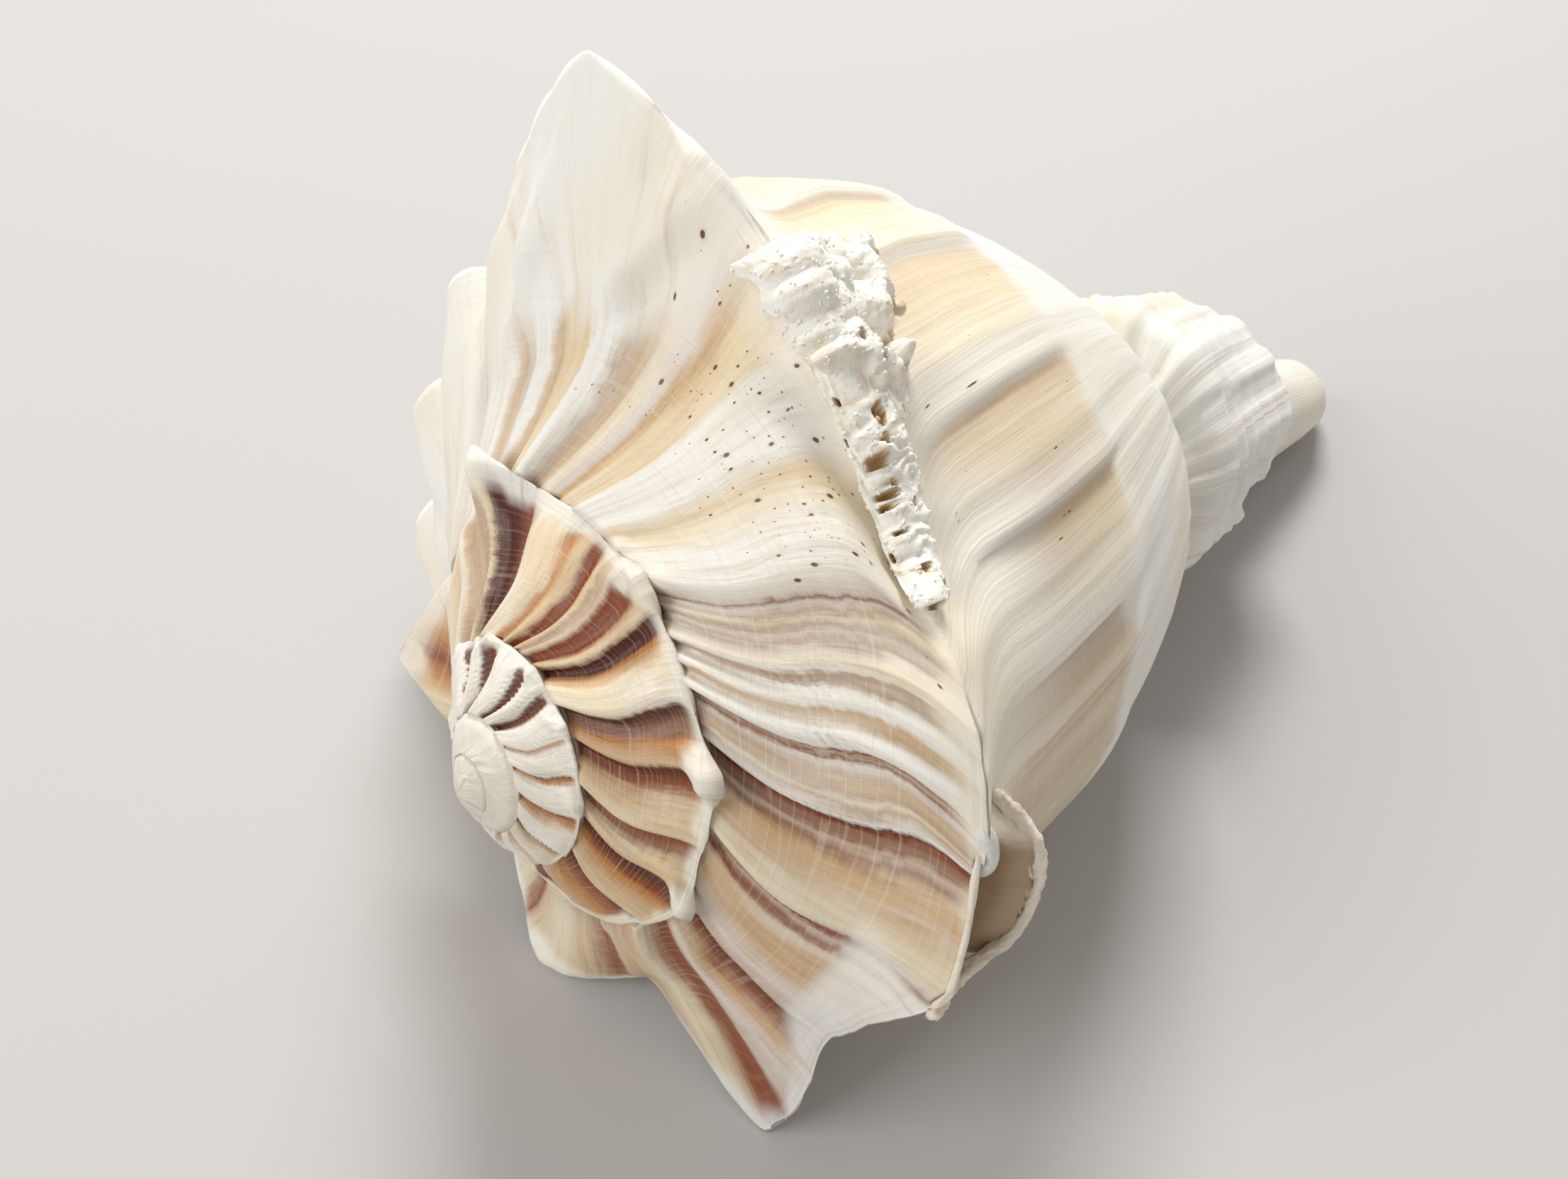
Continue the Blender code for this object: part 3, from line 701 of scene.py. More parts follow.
@dataclass
class ShellBody:
    """The whole shell: spire, shoulder, side, canal, lining, lip and the deep end."""

    growth: Growth
    relief: Relief
    columns: int = 400
    all_columns: int = 1840
    aperture_columns: int = 185
    early_columns: int = 1042
    slope_rows: int = 22
    keel_rows: int = 9
    early_step: int = 2
    seam_width: float = 0.006
    side_spans: tuple[tuple[float, float, int], ...] = (
        (1.035, 1.12, 8), (1.12, 1.34, 13), (1.34, 1.64, 9), (1.64, 1.90, 27),
    )
    last_span: tuple[float, float, int] = (1.90, 1.992, 5)
    net: Net = field(default_factory=Net)

    def slope_places(self, early: bool) -> np.ndarray:
        """Places of the rows from just past the suture to the line that the next whorl covers."""
        slope = np.concatenate([[self.seam_width], np.linspace(0.0, 0.9, self.slope_rows + 1)[1:]])
        keel = np.linspace(0.9, 1.0, self.keel_rows + 1)[1:]
        places = np.concatenate([slope, keel])
        if early:
            places = np.concatenate([[self.seam_width], places[1:][::-1][:: self.early_step][::-1]])
        return np.concatenate([places, [self.growth.suture]])

    def side_rows(self) -> np.ndarray:
        """Places of the rows from the keel to the tip of the canal."""
        spans = [np.linspace(*span, endpoint=False) for span in self.side_spans]
        return np.concatenate([*spans, np.linspace(*self.last_span)])

    def weave(self) -> None:
        """Adds every face of the surface."""
        net, growth = self.net, self.growth
        behind = self.columns - round(growth.lead * self.columns / 360)
        lip = self.all_columns
        taus = growth.lip + (np.arange(lip + 1) - lip) * 360.0 / self.columns
        apex = net.add_row(np.zeros((1, 3)), taus[0], np.array([0.0]), Zone.OUTSIDE)[0]
        tip_place = growth.placed(*(np.array([x]) for x in (growth.lip, 2.0, 0.0, growth.length)))
        tip = net.add_row(tip_place, growth.lip, np.array([2.0]), Zone.OUTSIDE)[0]
        slope = []
        for column, tau in enumerate(taus):
            v = self.slope_places(column < self.early_columns)
            slope.append(net.add_row(growth.outer_point(tau, v), tau, v, Zone.OUTSIDE))

        def upper(column: int) -> list[int]:
            """The points from the suture to the line that the next whorl covers."""
            start = slope[column - behind][-1] if column >= behind else apex
            return [start, *slope[column]]

        for column in range(lip):
            if column + 1 == self.early_columns:
                self.widen(upper(column), upper(column + 1))
            else:
                net.strip(upper(column), upper(column + 1))
        net.add_face(*upper(0)[::-1])

        side_v = self.side_rows()
        deep = lip - self.columns - self.aperture_columns
        side = {}
        for column in range(deep, lip + 1):
            tau = taus[column]
            side[column] = [*net.add_row(growth.outer_point(tau, side_v), tau, side_v, Zone.OUTSIDE), tip]
        for column in range(deep, lip):
            net.strip(side[column], side[column + 1])
        for column in range(lip - behind, lip):
            net.strip([slope[column][-1], side[column][0]], [slope[column + 1][-1], side[column + 1][0]])

        slope_v = self.slope_places(False)
        lining_v = np.concatenate([slope_v, side_v])
        inner = {}
        for column in range(lip - self.aperture_columns, lip + 1):
            points = growth.lining_point(taus[column], lining_v)
            numbers = net.add_row(points, taus[column], lining_v, Zone.LINING)
            inner[column] = [side[column - behind][0], *numbers, tip]
        for column in range(lip - self.aperture_columns, lip):
            net.strip(inner[column], inner[column + 1], flip=True)
        net.strip([*upper(lip), *side[lip]], inner[lip])
        end = inner[lip - self.aperture_columns]
        along_side = len(side_v) + 1
        net.strip(end[-along_side:], side[deep])
        lead_columns = self.columns - behind
        covered = [side[c][0] for c in range(deep + lead_columns, deep - 1, -1)]
        net.zip_lines(end[: -along_side + 1], covered)

    def widen(self, few: list[int], many: list[int]) -> None:
        """Joins a line of few points to one with early_step times as many, from the keel back."""
        few, many = few[::-1], many[::-1]
        self.net.add_face(few[1], few[0], many[0], many[1])
        j = 1
        for a, b in zip(few[1:], few[2:]):
            last = min(j + self.early_step, len(many) - 1)
            if b == few[-1]:
                last = len(many) - 1
            for k in range(j, last):
                self.net.add_face(a, many[k], many[k + 1])
            self.net.add_face(a, many[last], b)
            j = last

    def build(self) -> bpy.types.Object:
        """Makes the shell as one closed mesh with its growth marks.

        Returns:
            The shell's object.
        """
        self.weave()
        points = np.concatenate(self.net.points)
        marks = np.concatenate(self.net.marks)
        mesh = bpy.data.meshes.new("whelk_shell")
        mesh.from_pydata(self.growth.lying(points).tolist(), [], self.net.faces)
        mesh.update()
        normals = np.empty(len(points) * 3, np.float32)
        mesh.vertex_normals.foreach_get("vector", normals)
        outside = marks[:, 2] == Zone.OUTSIDE.value
        height = np.where(outside, self.relief.height(marks[:, 0], marks[:, 1]), 0.0)
        moved = self.growth.lying(points) + normals.reshape(-1, 3) * height[:, None]
        inward = np.where(outside, self.relief.inward(*marks[:, :2].T), self.relief.dip(*marks[:, :2].T))
        moved += self.relief.outward(marks[:, 0], marks[:, 1]) * inward[:, None]
        moved = inside_box(moved)
        mesh.vertices.foreach_set("co", moved.astype(np.float32).ravel())
        mesh.validate()
        mesh.shade_smooth()
        self.mark(mesh, marks)
        return linked("whelk_shell", mesh)

    def mark(self, mesh: bpy.types.Mesh, marks: np.ndarray) -> None:
        """Stores the growth coordinates and the strength of each marking on the mesh.

        Args:
            mesh: The shell's mesh.
            marks: Growth angle, place and zone of each point.
        """
        tau, v, zone = marks.T
        line = self.growth.growth_line(tau, v)
        outside = zone == Zone.OUTSIDE.value
        suture = self.growth.suture
        layers = {
            "white": self.white(tau, v),
            "lining": 1.0 - outside,
            "seam": ((v == suture) & (tau < self.growth.lip + self.growth.lead - 360)) * 1.0,
            "pitted": self.pitted(tau, v),
            "hollow": self.hollow(tau, v) * outside,
        }
        for name, values in layers.items():
            data = mesh.attributes.new(name, "FLOAT", "POINT").data
            data.foreach_set("value", np.asarray(values, np.float32))
        place = np.stack([line / 10.0, v * 10.0, zone], axis=-1)
        data = mesh.attributes.new("growth_place", "FLOAT_VECTOR", "POINT").data
        data.foreach_set("vector", place.astype(np.float32).ravel())

    def white(self, tau: np.ndarray, v: np.ndarray) -> np.ndarray:
        """Where the surface is worn or grown white: knobs, the keel, the lower side and the collar."""
        reach, _ = self.growth.spine_reach(tau)
        knob = between(reach, 0.03, 0.09) * between(v, 0.86, 0.95) * between(v, 1.12, 1.03) * (tau < -200)
        hills = between(self.relief.hills(tau, v), 0.0003, 0.0009) * (tau < 50)
        start = np.where(tau < -190, 0.86, 0.90) + 0.05 * noise(tau / 5.0, np.zeros_like(tau), 17)
        valley = between(tau, -26.0, -18.0) * between(tau, 24.0, 14.0)
        start = start - 0.05 * valley
        keel = between(v, start, start + 0.09) * between(v, 1.11 + 0.06 * valley, 1.04 + 0.04 * valley)
        edge = 1.262 + 0.018 * noise(tau / 6.0, np.zeros_like(tau), 18)
        lower = between(v - edge, -0.014, 0.012)
        fade = 0.50 + 0.07 * noise(tau / 4.0, np.zeros_like(tau), 19)
        spine = between(tau, 42.0, 56.0) * between(v, fade, fade + 0.16) * (v < 1.02)
        flank = between(tau, -88.0, -80.0) * between(tau, -44.0, -52.0)
        flank = flank * between(v, 0.63, 0.73) * (v < 1.04)
        near_crust = 0.6 * between(tau, 6.0, 14.0) * between(v, 0.80, 0.90) * (v < 1.02)
        shares = (0.8 * knob, 0.9 * hills, 0.9 * keel, 0.92 * lower, 0.95 * spine, near_crust, 0.85 * flank)
        return np.clip(np.maximum.reduce(shares), 0, 1)

    def hollow(self, tau: np.ndarray, v: np.ndarray) -> np.ndarray:
        """The inside of the broken spine, its own brown, with painted shade that makes it stronger deeper in.
        """
        depth = -self.relief.broken_spine(tau, v)
        # Painted shade: the floor's brown grows stronger with depth.
        floor = between(depth, 0.0004, 0.002) * (0.80 + 0.20 * between(depth, 0.002, 0.006))
        along = between(tau, -46.0, -43.0) * between(tau, -22.0, -25.0)
        wall = along * between(v, 0.975, 0.985) * between(v, 1.062, 1.054)
        return np.maximum(floor, 0.88 * wall)

    def pitted(self, tau: np.ndarray, v: np.ndarray) -> np.ndarray:
        """Where small borings are: round the crust and thinning out from it."""
        cluster = 0.4 + 0.6 * between(noise(tau / 7.0, v * 6.0, 20), -0.1, 0.5)
        side = np.where(v > 1.02, 0.15, 1.0)
        near = between(np.abs(tau - 26.0), 34.0, 12.0) * between(v, 0.25, 0.6) * between(v, 1.30, 1.10)
        return near * cluster * side


def inside_box(points: np.ndarray) -> np.ndarray:
    """The points, with any that stick out of the shell's box drawn back to it."""
    return np.clip(points, np.array(CAD_BOX[0]) + BOX_MARGIN, np.array(CAD_BOX[1]) - BOX_MARGIN)


def linked(name: str, mesh: bpy.types.Mesh) -> bpy.types.Object:
    """An object of the scene that shows the mesh."""
    piece = bpy.data.objects.new(name, mesh)
    bpy.context.scene.collection.objects.link(piece)
    return piece


def facing_out(mesh: bpy.types.Mesh) -> None:
    """Turns the faces of a closed mesh outwards, judged by the sign of its volume."""
    mesh.calc_loop_triangles()
    corners = np.empty(len(mesh.vertices) * 3)
    mesh.vertices.foreach_get("co", corners)
    corners = corners.reshape(-1, 3)
    triangles = np.empty(len(mesh.loop_triangles) * 3, int)
    mesh.loop_triangles.foreach_get("vertices", triangles)
    a, b, c = (corners[triangles[k::3]] for k in range(3))
    if (a * np.cross(b, c)).sum() < 0:
        mesh.flip_normals()


def depth_inside(x: np.ndarray, y: np.ndarray, ring: tuple[tuple[float, float], ...]) -> np.ndarray:
    """Distance from each point to a closed ring of corners, more than 0 inside it."""
    nearest, inside = np.full(x.shape, 1e9), np.zeros(x.shape, bool)
    for (x0, y0), (x1, y1) in zip(ring, ring[1:] + ring[:1]):
        dx, dy = x1 - x0, y1 - y0
        share = np.clip(((x - x0) * dx + (y - y0) * dy) / (dx * dx + dy * dy), 0, 1)
        nearest = np.minimum(nearest, np.hypot(x - x0 - share * dx, y - y0 - share * dy))
        if dy != 0:
            inside ^= ((y0 > y) != (y1 > y)) & (x < x0 + (y - y0) * dx / dy)
    return np.where(inside, nearest, -nearest)


@dataclass(frozen=True)
class Hole:
    """A hole in the crust: its place and radius in millimetres."""

    angle: float
    place: float
    radius: float


@dataclass
class Crust:
    """The chalky crust on the keel: a lumpy mass at the top and a strip with folds and holes below it."""

    relief: Relief
    start: float = 6.0
    end: float = 55.0
    columns: int = 330
    rows: int = 120
    low: float = 0.86
    high: float = 1.145
    mass_height: float = 0.0044
    mass_outline: tuple[tuple[float, float], ...] = (
        (50, 0.945), (50, 1.04), (51, 1.09), (48, 1.115), (43, 1.11), (40, 1.10), (37, 1.06), (35, 1.085),
        (31.5, 1.06), (34.5, 1.01), (37.5, 0.965), (44, 0.925),
    )
    strip_height: float = 0.0021
    place_length: float = 45.0
    root_depth: float = 0.0016
    skirt_depth: float = 0.0005
    holes: tuple[Hole, ...] = (
        Hole(31, 1.012, 1.25),
        Hole(38.2, 1.015, 0.85),
        Hole(28.4, 1.005, 0.75),
        Hole(26.2, 1.0, 0.70),
        Hole(23.9, 1.002, 0.55),
        Hole(22.7, 1.0, 0.65),
        Hole(21.4, 0.997, 0.45),
        Hole(21.0, 1.022, 0.50),
        Hole(18.2, 1.0, 0.25),
        Hole(15.2, 0.985, 0.55),
        Hole(13.2, 1.002, 0.6),
        Hole(10.5, 1.012, 0.6),
        Hole(8.3, 1.0, 0.35),
        Hole(29.0, 0.962, 0.45),
        Hole(33.5, 0.985, 0.5),
        Hole(35.3, 1.04, 0.6),
        Hole(24.5, 0.955, 0.4),
        Hole(46.5, 0.955, 0.5),
        Hole(30.0, 1.055, 0.45),
        Hole(49.0, 1.05, 0.55),
    )

    def mass(self, along: np.ndarray, across: np.ndarray, tau: np.ndarray, v: np.ndarray) -> np.ndarray:
        """Height of the lumpy mass in metres, on coordinates along and across in millimetres."""
        ring = tuple((angle, self.place_length * place) for angle, place in self.mass_outline)
        edge = 0.8 * noise(along / 2.6, across / 2.6, 47) + 0.3 * noise(along / 1.1, across / 1.1, 48)
        inside = between(depth_inside(tau, self.place_length * v, ring) + edge, -0.5, 1.0)
        round_lump = np.sqrt(np.clip(1.0 - (cells(along / 3.3, across / 3.3, 42) / 0.95) ** 2, 0, 1))
        small = np.sqrt(np.clip(1.0 - (cells(along / 1.3, across / 1.3, 43) / 0.95) ** 2, 0, 1))
        dry = 0.5 + 0.5 * noise(along / 3.0, across / 3.0, 44)
        return self.mass_height * inside * (0.12 + 0.64 * round_lump + 0.24 * small * dry)

    def strip(self, along: np.ndarray, across: np.ndarray, tau: np.ndarray, v: np.ndarray) -> np.ndarray:
        """Height of the ridged strip in metres."""
        edge = 0.9 * noise(along / 1.6, across / 1.6, 49)
        centre = np.interp(tau, (7.0, 12.0, 20.0, 30.0, 38.0), (1.0, 0.996, 1.0, 1.006, 1.01))
        width = np.interp(tau, (7.0, 12.0, 18.0, 26.0, 38.0), (0.014, 0.040, 0.054, 0.062, 0.074))
        off = (v - centre) / width
        inside = between(np.abs(off) + 0.10 * edge, 1.05, 0.55)
        inside = inside * between(tau, 7.0, 9.0) * between(tau, 40.0, 36.0)
        slant = along / 3.1 + 0.9 * off + 1.6 * noise(along / 3.4, across / 1.9, 50)
        folds = 0.5 + 0.5 * np.cos(2 * math.pi * slant)
        lump = np.sqrt(np.clip(1.0 - (cells(along / 1.7, across / 1.7, 53) / 0.95) ** 2, 0, 1))
        rough = 0.5 + 0.5 * noise(along / 0.6, across / 0.6, 51)
        return self.strip_height * inside * (0.50 + 0.13 * folds + 0.27 * lump + 0.10 * rough)

    def build(self) -> bpy.types.Object:
        """Makes the crust as one closed mesh that is rooted in the shell.

        Returns:
            The crust's object.
        """
        tau = np.linspace(self.start, self.end, self.columns)
        v = np.linspace(self.low, self.high, self.rows)
        tau, v = np.meshgrid(tau, v, indexing="ij")
        base, normal = self.relief.surface(tau, v)
        along = 1000.0 * np.cumsum(np.linalg.norm(np.gradient(base, axis=0), axis=-1), axis=0)
        across = 1000.0 * np.cumsum(np.linalg.norm(np.gradient(base, axis=1), axis=-1), axis=1)
        rise = np.maximum(self.mass(along, across, tau, v), self.strip(along, across, tau, v))
        cover = between(rise, 0.0, 0.0005)
        open_holes, cavity = np.zeros_like(rise), np.zeros_like(rise)
        for k, hole in enumerate(self.holes):
            i = int(np.argmin(np.abs(tau[:, 0] - hole.angle)))
            j = int(np.argmin(np.abs(v[0] - hole.place)))
            ragged = 1.0 + 0.28 * noise(along / 0.7 + k, across / 0.7, 52)
            away = np.hypot((along - along[i, j]) * 0.75, (across - across[i, j]) * 1.2)
            away = away * ragged / (0.60 * hole.radius)
            open_holes = np.maximum(open_holes, between(away, 1.08, 0.80))
            cavity = np.maximum(cavity, between(away, 1.25, 0.95))
        # Painted shade: the low ground between the lumps of the mass is given ochre.
        crease_shade = between(rise / self.mass_height, 0.52, 0.16) * 0.55 * cover * (tau > 32.0)
        rise = rise * (1 - 0.95 * open_holes)
        top = inside_box(base + normal * (rise - self.skirt_depth * (1 - cover))[..., None])
        bottom = base - normal * self.root_depth
        mesh = self.closed(top, bottom)
        # The cavity share is painted shade: the holes and the low ground between lumps turn ochre.
        shares = {"cavity": np.maximum(cavity * cover, crease_shade), "grain_share": cover * (1 - cavity)}
        for name, values in shares.items():
            data = mesh.attributes.new(name, "FLOAT", "POINT").data
            data.foreach_set("value", np.append(values, np.zeros(values.size)).astype(np.float32))
        return linked("shell_crust", mesh)

    def closed(self, top: np.ndarray, bottom: np.ndarray) -> bpy.types.Mesh:
        """Joins a grid of points to the one under it, all round.

        Args:
            top: The outer grid.
            bottom: The grid inside the shell.

        Returns:
            The closed mesh, with its faces outwards.
        """
        columns, rows = top.shape[:2]
        total = columns * rows
        number = np.arange(total).reshape(columns, rows)
        corners = (number[:-1, :-1], number[1:, :-1], number[1:, 1:], number[:-1, 1:])
        quads = np.stack(corners, axis=-1).reshape(-1, 4)
        ring = np.concatenate([number[:, 0], number[-1, 1:], number[-2::-1, -1], number[0, -2:0:-1]])
        after = np.roll(ring, -1)
        rim = np.stack([after, ring, ring + total, after + total], axis=-1)
        faces = np.concatenate([quads, quads[:, ::-1] + total, rim])
        mesh = bpy.data.meshes.new("shell_crust")
        points = np.concatenate([top.reshape(-1, 3), bottom.reshape(-1, 3)])
        mesh.from_pydata(points.tolist(), [], faces.tolist())
        mesh.update()
        facing_out(mesh)
        mesh.shade_smooth()
        return mesh


@dataclass
class Grains:
    """Small chalky grains strewn over the crust."""

    crust: bpy.types.Object
    material: bpy.types.Material
    per_square_metre: float = 0.7e6
    radius: float = 0.00022
    smallest: tuple[float, float, float] = (0.4, 0.4, 0.3)
    largest: tuple[float, float, float] = (1.7, 1.3, 1.0)
    seed: int = 4

    def tree(self) -> bpy.types.NodeTree:
        """Lays out the nodes that strew grains on a surface.

        Returns:
            The tree, with the inputs Density, Radius and Material.
        """
        tree = bpy.data.node_groups.new("crust_grains", "GeometryNodeTree")
        tree.interface.new_socket(name="Geometry", in_out="INPUT", socket_type="NodeSocketGeometry")
        for name in ("Density", "Radius"):
            tree.interface.new_socket(name=name, in_out="INPUT", socket_type="NodeSocketFloat")
        tree.interface.new_socket(name="Material", in_out="INPUT", socket_type="NodeSocketMaterial")
        tree.interface.new_socket(name="Geometry", in_out="OUTPUT", socket_type="NodeSocketGeometry")
        pen = NodePen(tree)
        given = pen.node("NodeGroupInput").outputs
        share = pen.node("GeometryNodeInputNamedAttribute", data_type="FLOAT")
        share.inputs["Name"].default_value = "grain_share"
        points = pen.node("GeometryNodeDistributePointsOnFaces")
        pen.link(given["Geometry"], points.inputs["Mesh"])
        density = pen.times(share.outputs["Attribute"], given["Density"])
        pen.link(density, points.inputs["Density"])
        points.inputs["Seed"].default_value = self.seed
        grain = pen.node("GeometryNodeMeshIcoSphere")
        pen.link(given["Radius"], grain.inputs["Radius"])
        grain.inputs["Subdivisions"].default_value = 2
        size = pen.node("FunctionNodeRandomValue", data_type="FLOAT_VECTOR")
        size.inputs[0].default_value = self.smallest
        size.inputs[1].default_value = self.largest
        size.inputs["Seed"].default_value = self.seed
        strewn = pen.node("GeometryNodeInstanceOnPoints")
        pen.link(points.outputs["Points"], strewn.inputs["Points"])
        pen.link(grain.outputs["Mesh"], strewn.inputs["Instance"])
        pen.link(points.outputs["Rotation"], strewn.inputs["Rotation"])
        pen.link(size.outputs[0], strewn.inputs["Scale"])
        real = pen.node("GeometryNodeRealizeInstances")
        pen.link(strewn.outputs["Instances"], real.inputs["Geometry"])
        dressed = pen.node("GeometryNodeSetMaterial")
        pen.link(real.outputs["Geometry"], dressed.inputs["Geometry"])
        pen.link(given["Material"], dressed.inputs["Material"])
        pen.link(dressed.outputs["Geometry"], pen.node("NodeGroupOutput").inputs["Geometry"])
        return tree

    def build(self) -> bpy.types.Object:
        """Strews the grains and keeps them as a plain mesh.

        Returns:
            The grains' object.
        """
        host = linked("grain_host", self.crust.data.copy())
        modifier = host.modifiers.new("grains", "NODES")
        modifier.node_group = self.tree()
        values = {"Density": self.per_square_metre, "Radius": self.radius, "Material": self.material}
        for item in modifier.node_group.interface.items_tree:
            if item.in_out == "INPUT" and item.name in values:
                modifier[item.identifier] = values[item.name]
        seen = host.evaluated_get(bpy.context.evaluated_depsgraph_get())
        mesh = bpy.data.meshes.new_from_object(seen)
        mesh.name = "crust_grains"
        host.modifiers.clear()
        bpy.data.objects.remove(host)
        corners = np.empty(len(mesh.vertices) * 3)
        mesh.vertices.foreach_get("co", corners)
        mesh.vertices.foreach_set("co", inside_box(corners.reshape(-1, 3)).astype(np.float32).ravel())
        mesh.materials.clear()
        mesh.shade_smooth()
        return linked("crust_grains", mesh)


@dataclass
class Ridge:
    """A rounded ridge that runs over the surface along a path of angle, place, height and radius in mm."""

    name: str
    relief: Relief
    path: tuple[tuple[float, float, float, float], ...]
    rough: float = 0.25
    lump: float = 1.0
    seed: int = 1
    steps: int = 150
    sides: int = 20
    cap: float = 0.06

    def build(self) -> bpy.types.Object:
        """Makes the ridge as one closed mesh.

        Returns:
            The ridge's object.
        """
        given = np.array(self.path)
        share = np.linspace(0.0, 1.0, self.steps)
        knots = np.linspace(0, 1, len(given))
        tau, v, height, radius = (smooth_curve(share, knots, column) for column in given.T)
        _, normal = self.relief.surface(tau, v)
        outer = self.relief.growth.lying(self.relief.growth.outer_point(tau, v))
        centre = outer + normal * 0.001 * height[:, None]
        tangent = np.gradient(centre, axis=0)
        length = np.linalg.norm(tangent, axis=-1)
        tangent /= length[:, None]
        normal = normal - tangent * (normal * tangent).sum(-1, keepdims=True)
        normal /= np.linalg.norm(normal, axis=-1, keepdims=True)
        sideways = np.cross(tangent, normal)
        along = 1000.0 * np.cumsum(length)
        end = np.minimum(share, 1 - share) / self.cap
        closing = np.sqrt(np.clip(1 - (1 - np.clip(end, 0, 1)) ** 2, 0, 1))
        angle = np.linspace(0, 2 * math.pi, self.sides, endpoint=False)
        around, across = np.cos(angle)[None, :], np.sin(angle)[None, :]
        travel = along[:, None] / self.lump
        wobble = noise(travel + 2.0 * around, 2.0 * across + 7, self.seed)
        wobble = wobble + 0.5 * noise(travel / 0.4 + 2.0 * around, 4.0 * across, self.seed)
        size = 0.001 * radius[:, None] * closing[:, None] * (1 + self.rough * wobble)
        ring = around[..., None] * normal[:, None] + across[..., None] * sideways[:, None]
        ring = size[..., None] * ring
        rings = inside_box(centre[:, None] + ring)[1:-1]
        points = np.concatenate([rings.reshape(-1, 3), centre[:1], centre[-1:]])
        count, sides = len(rings), self.sides
        first, last = count * sides, count * sides + 1
        faces = []
        for i in range(count - 1):
            for j in range(sides):
                k = (j + 1) % sides
                faces.append((i * sides + j, i * sides + k, (i + 1) * sides + k, (i + 1) * sides + j))
        for j in range(sides):
            k = (j + 1) % sides
            faces.append((first, k, j))
            faces.append((last, (count - 1) * sides + j, (count - 1) * sides + k))
        mesh = bpy.data.meshes.new(self.name)
        mesh.from_pydata(points.tolist(), [], faces)
        mesh.update()
        facing_out(mesh)
        mesh.shade_smooth()
        return linked(self.name, mesh)


class NodePen:
    """Short ways to add nodes and links to one shader tree."""

    def __init__(self, tree: bpy.types.NodeTree) -> None:
        """Takes the tree to draw in."""
        self.tree = tree

    def node(self, kind: str, **settings: object) -> bpy.types.Node:
        """Adds a node and sets its properties."""
        made = self.tree.nodes.new(kind)
        for name, value in settings.items():
            setattr(made, name, value)
        return made

    def link(self, source: object, target: bpy.types.NodeSocket) -> None:
        """Links a socket to another, or sets a plain value."""
        if isinstance(source, bpy.types.NodeSocket):
            self.tree.links.new(source, target)
        else:
            target.default_value = source

    def attribute(self, name: str) -> bpy.types.NodeSocket:
        """The value of a named attribute of the piece."""
        return self.node("ShaderNodeAttribute", attribute_name=name).outputs["Fac"]

    def math(self, operation: str, a: object, b: object = 0.0) -> bpy.types.NodeSocket:
        """One arithmetic step."""
        made = self.node("ShaderNodeMath", operation=operation)
        self.link(a, made.inputs[0])
        self.link(b, made.inputs[1])
        return made.outputs[0]

    def times(self, a: object, b: object) -> bpy.types.NodeSocket:
        """One value times another."""
        return self.math("MULTIPLY", a, b)

    def plus(self, a: object, b: object) -> bpy.types.NodeSocket:
        """One value and another together."""
        return self.math("ADD", a, b)

    def minus(self, a: object, b: object) -> bpy.types.NodeSocket:
        """One value less another."""
        return self.math("SUBTRACT", a, b)

    def bump(self, height: object, strength: float, distance: float) -> bpy.types.NodeSocket:
        """A normal that shows a fine height."""
        made = self.node("ShaderNodeBump")
        made.inputs["Strength"].default_value = strength
        made.inputs["Distance"].default_value = distance
        self.link(height, made.inputs["Height"])
        return made.outputs["Normal"]

    def mix(self, share: object, a: object, b: object, blend: str = "MIX") -> bpy.types.NodeSocket:
        """A colour between a and b."""
        made = self.node("ShaderNodeMix", data_type="RGBA", blend_type=blend)
        self.link(share, made.inputs[0])
        self.link(a, made.inputs[6])
        self.link(b, made.inputs[7])
        return made.outputs[2]

    def span(
        self,
        value: object,
        low: float,
        high: float,
        to_low: float = 0.0,
        to_high: float = 1.0,
    ) -> bpy.types.NodeSocket:
        """A clamped straight step from low to high."""
        made = self.node("ShaderNodeMapRange")
        ends = {"From Min": low, "From Max": high, "To Min": to_low, "To Max": to_high}
        for name, number in ends.items():
            made.inputs[name].default_value = number
        self.link(value, made.inputs["Value"])
        return made.outputs["Result"]

    def scaled(self, vector: object, scale: tuple[float, float, float]) -> bpy.types.NodeSocket:
        """A vector stretched along its axes."""
        made = self.node("ShaderNodeMapping")
        self.link(vector, made.inputs["Vector"])
        made.inputs["Scale"].default_value = scale
        return made.outputs["Vector"]

    def stripes(self, line: bpy.types.NodeSocket, stripes: Stripes) -> bpy.types.NodeSocket:
        """The tone at a growth line, from colour ramps that follow on from one another."""
        shown = None
        for first in range(0, len(stripes) - 1, RAMP_STEPS):
            part = stripes[first : first + RAMP_STEPS + 1]
            low, high = part[0][0], part[-1][0]
            ramp = self.node("ShaderNodeValToRGB")
            self.link(self.span(line, low, high), ramp.inputs["Fac"])
            elements = ramp.color_ramp.elements
            elements[0].color, elements[1].color = part[0][1].colour(), part[-1][1].colour()
            for place, tone in part[1:-1]:
                elements.new((place - low) / (high - low)).color = tone.colour()
            if shown is None:
                shown = ramp.outputs["Color"]
            else:
                shown = self.mix(self.math("GREATER_THAN", line, low), shown, ramp.outputs["Color"])
        return shown

    def noise(
        self,
        vector: object,
        scale: float,
        detail: float = 3.0,
        roughness: float = 0.55,
    ) -> bpy.types.NodeSocket:
        """Noise from about 0 to 1."""
        made = self.node("ShaderNodeTexNoise")
        self.link(vector, made.inputs["Vector"])
        made.inputs["Scale"].default_value = scale
        made.inputs["Detail"].default_value = detail
        made.inputs["Roughness"].default_value = roughness
        return made.outputs["Fac"]


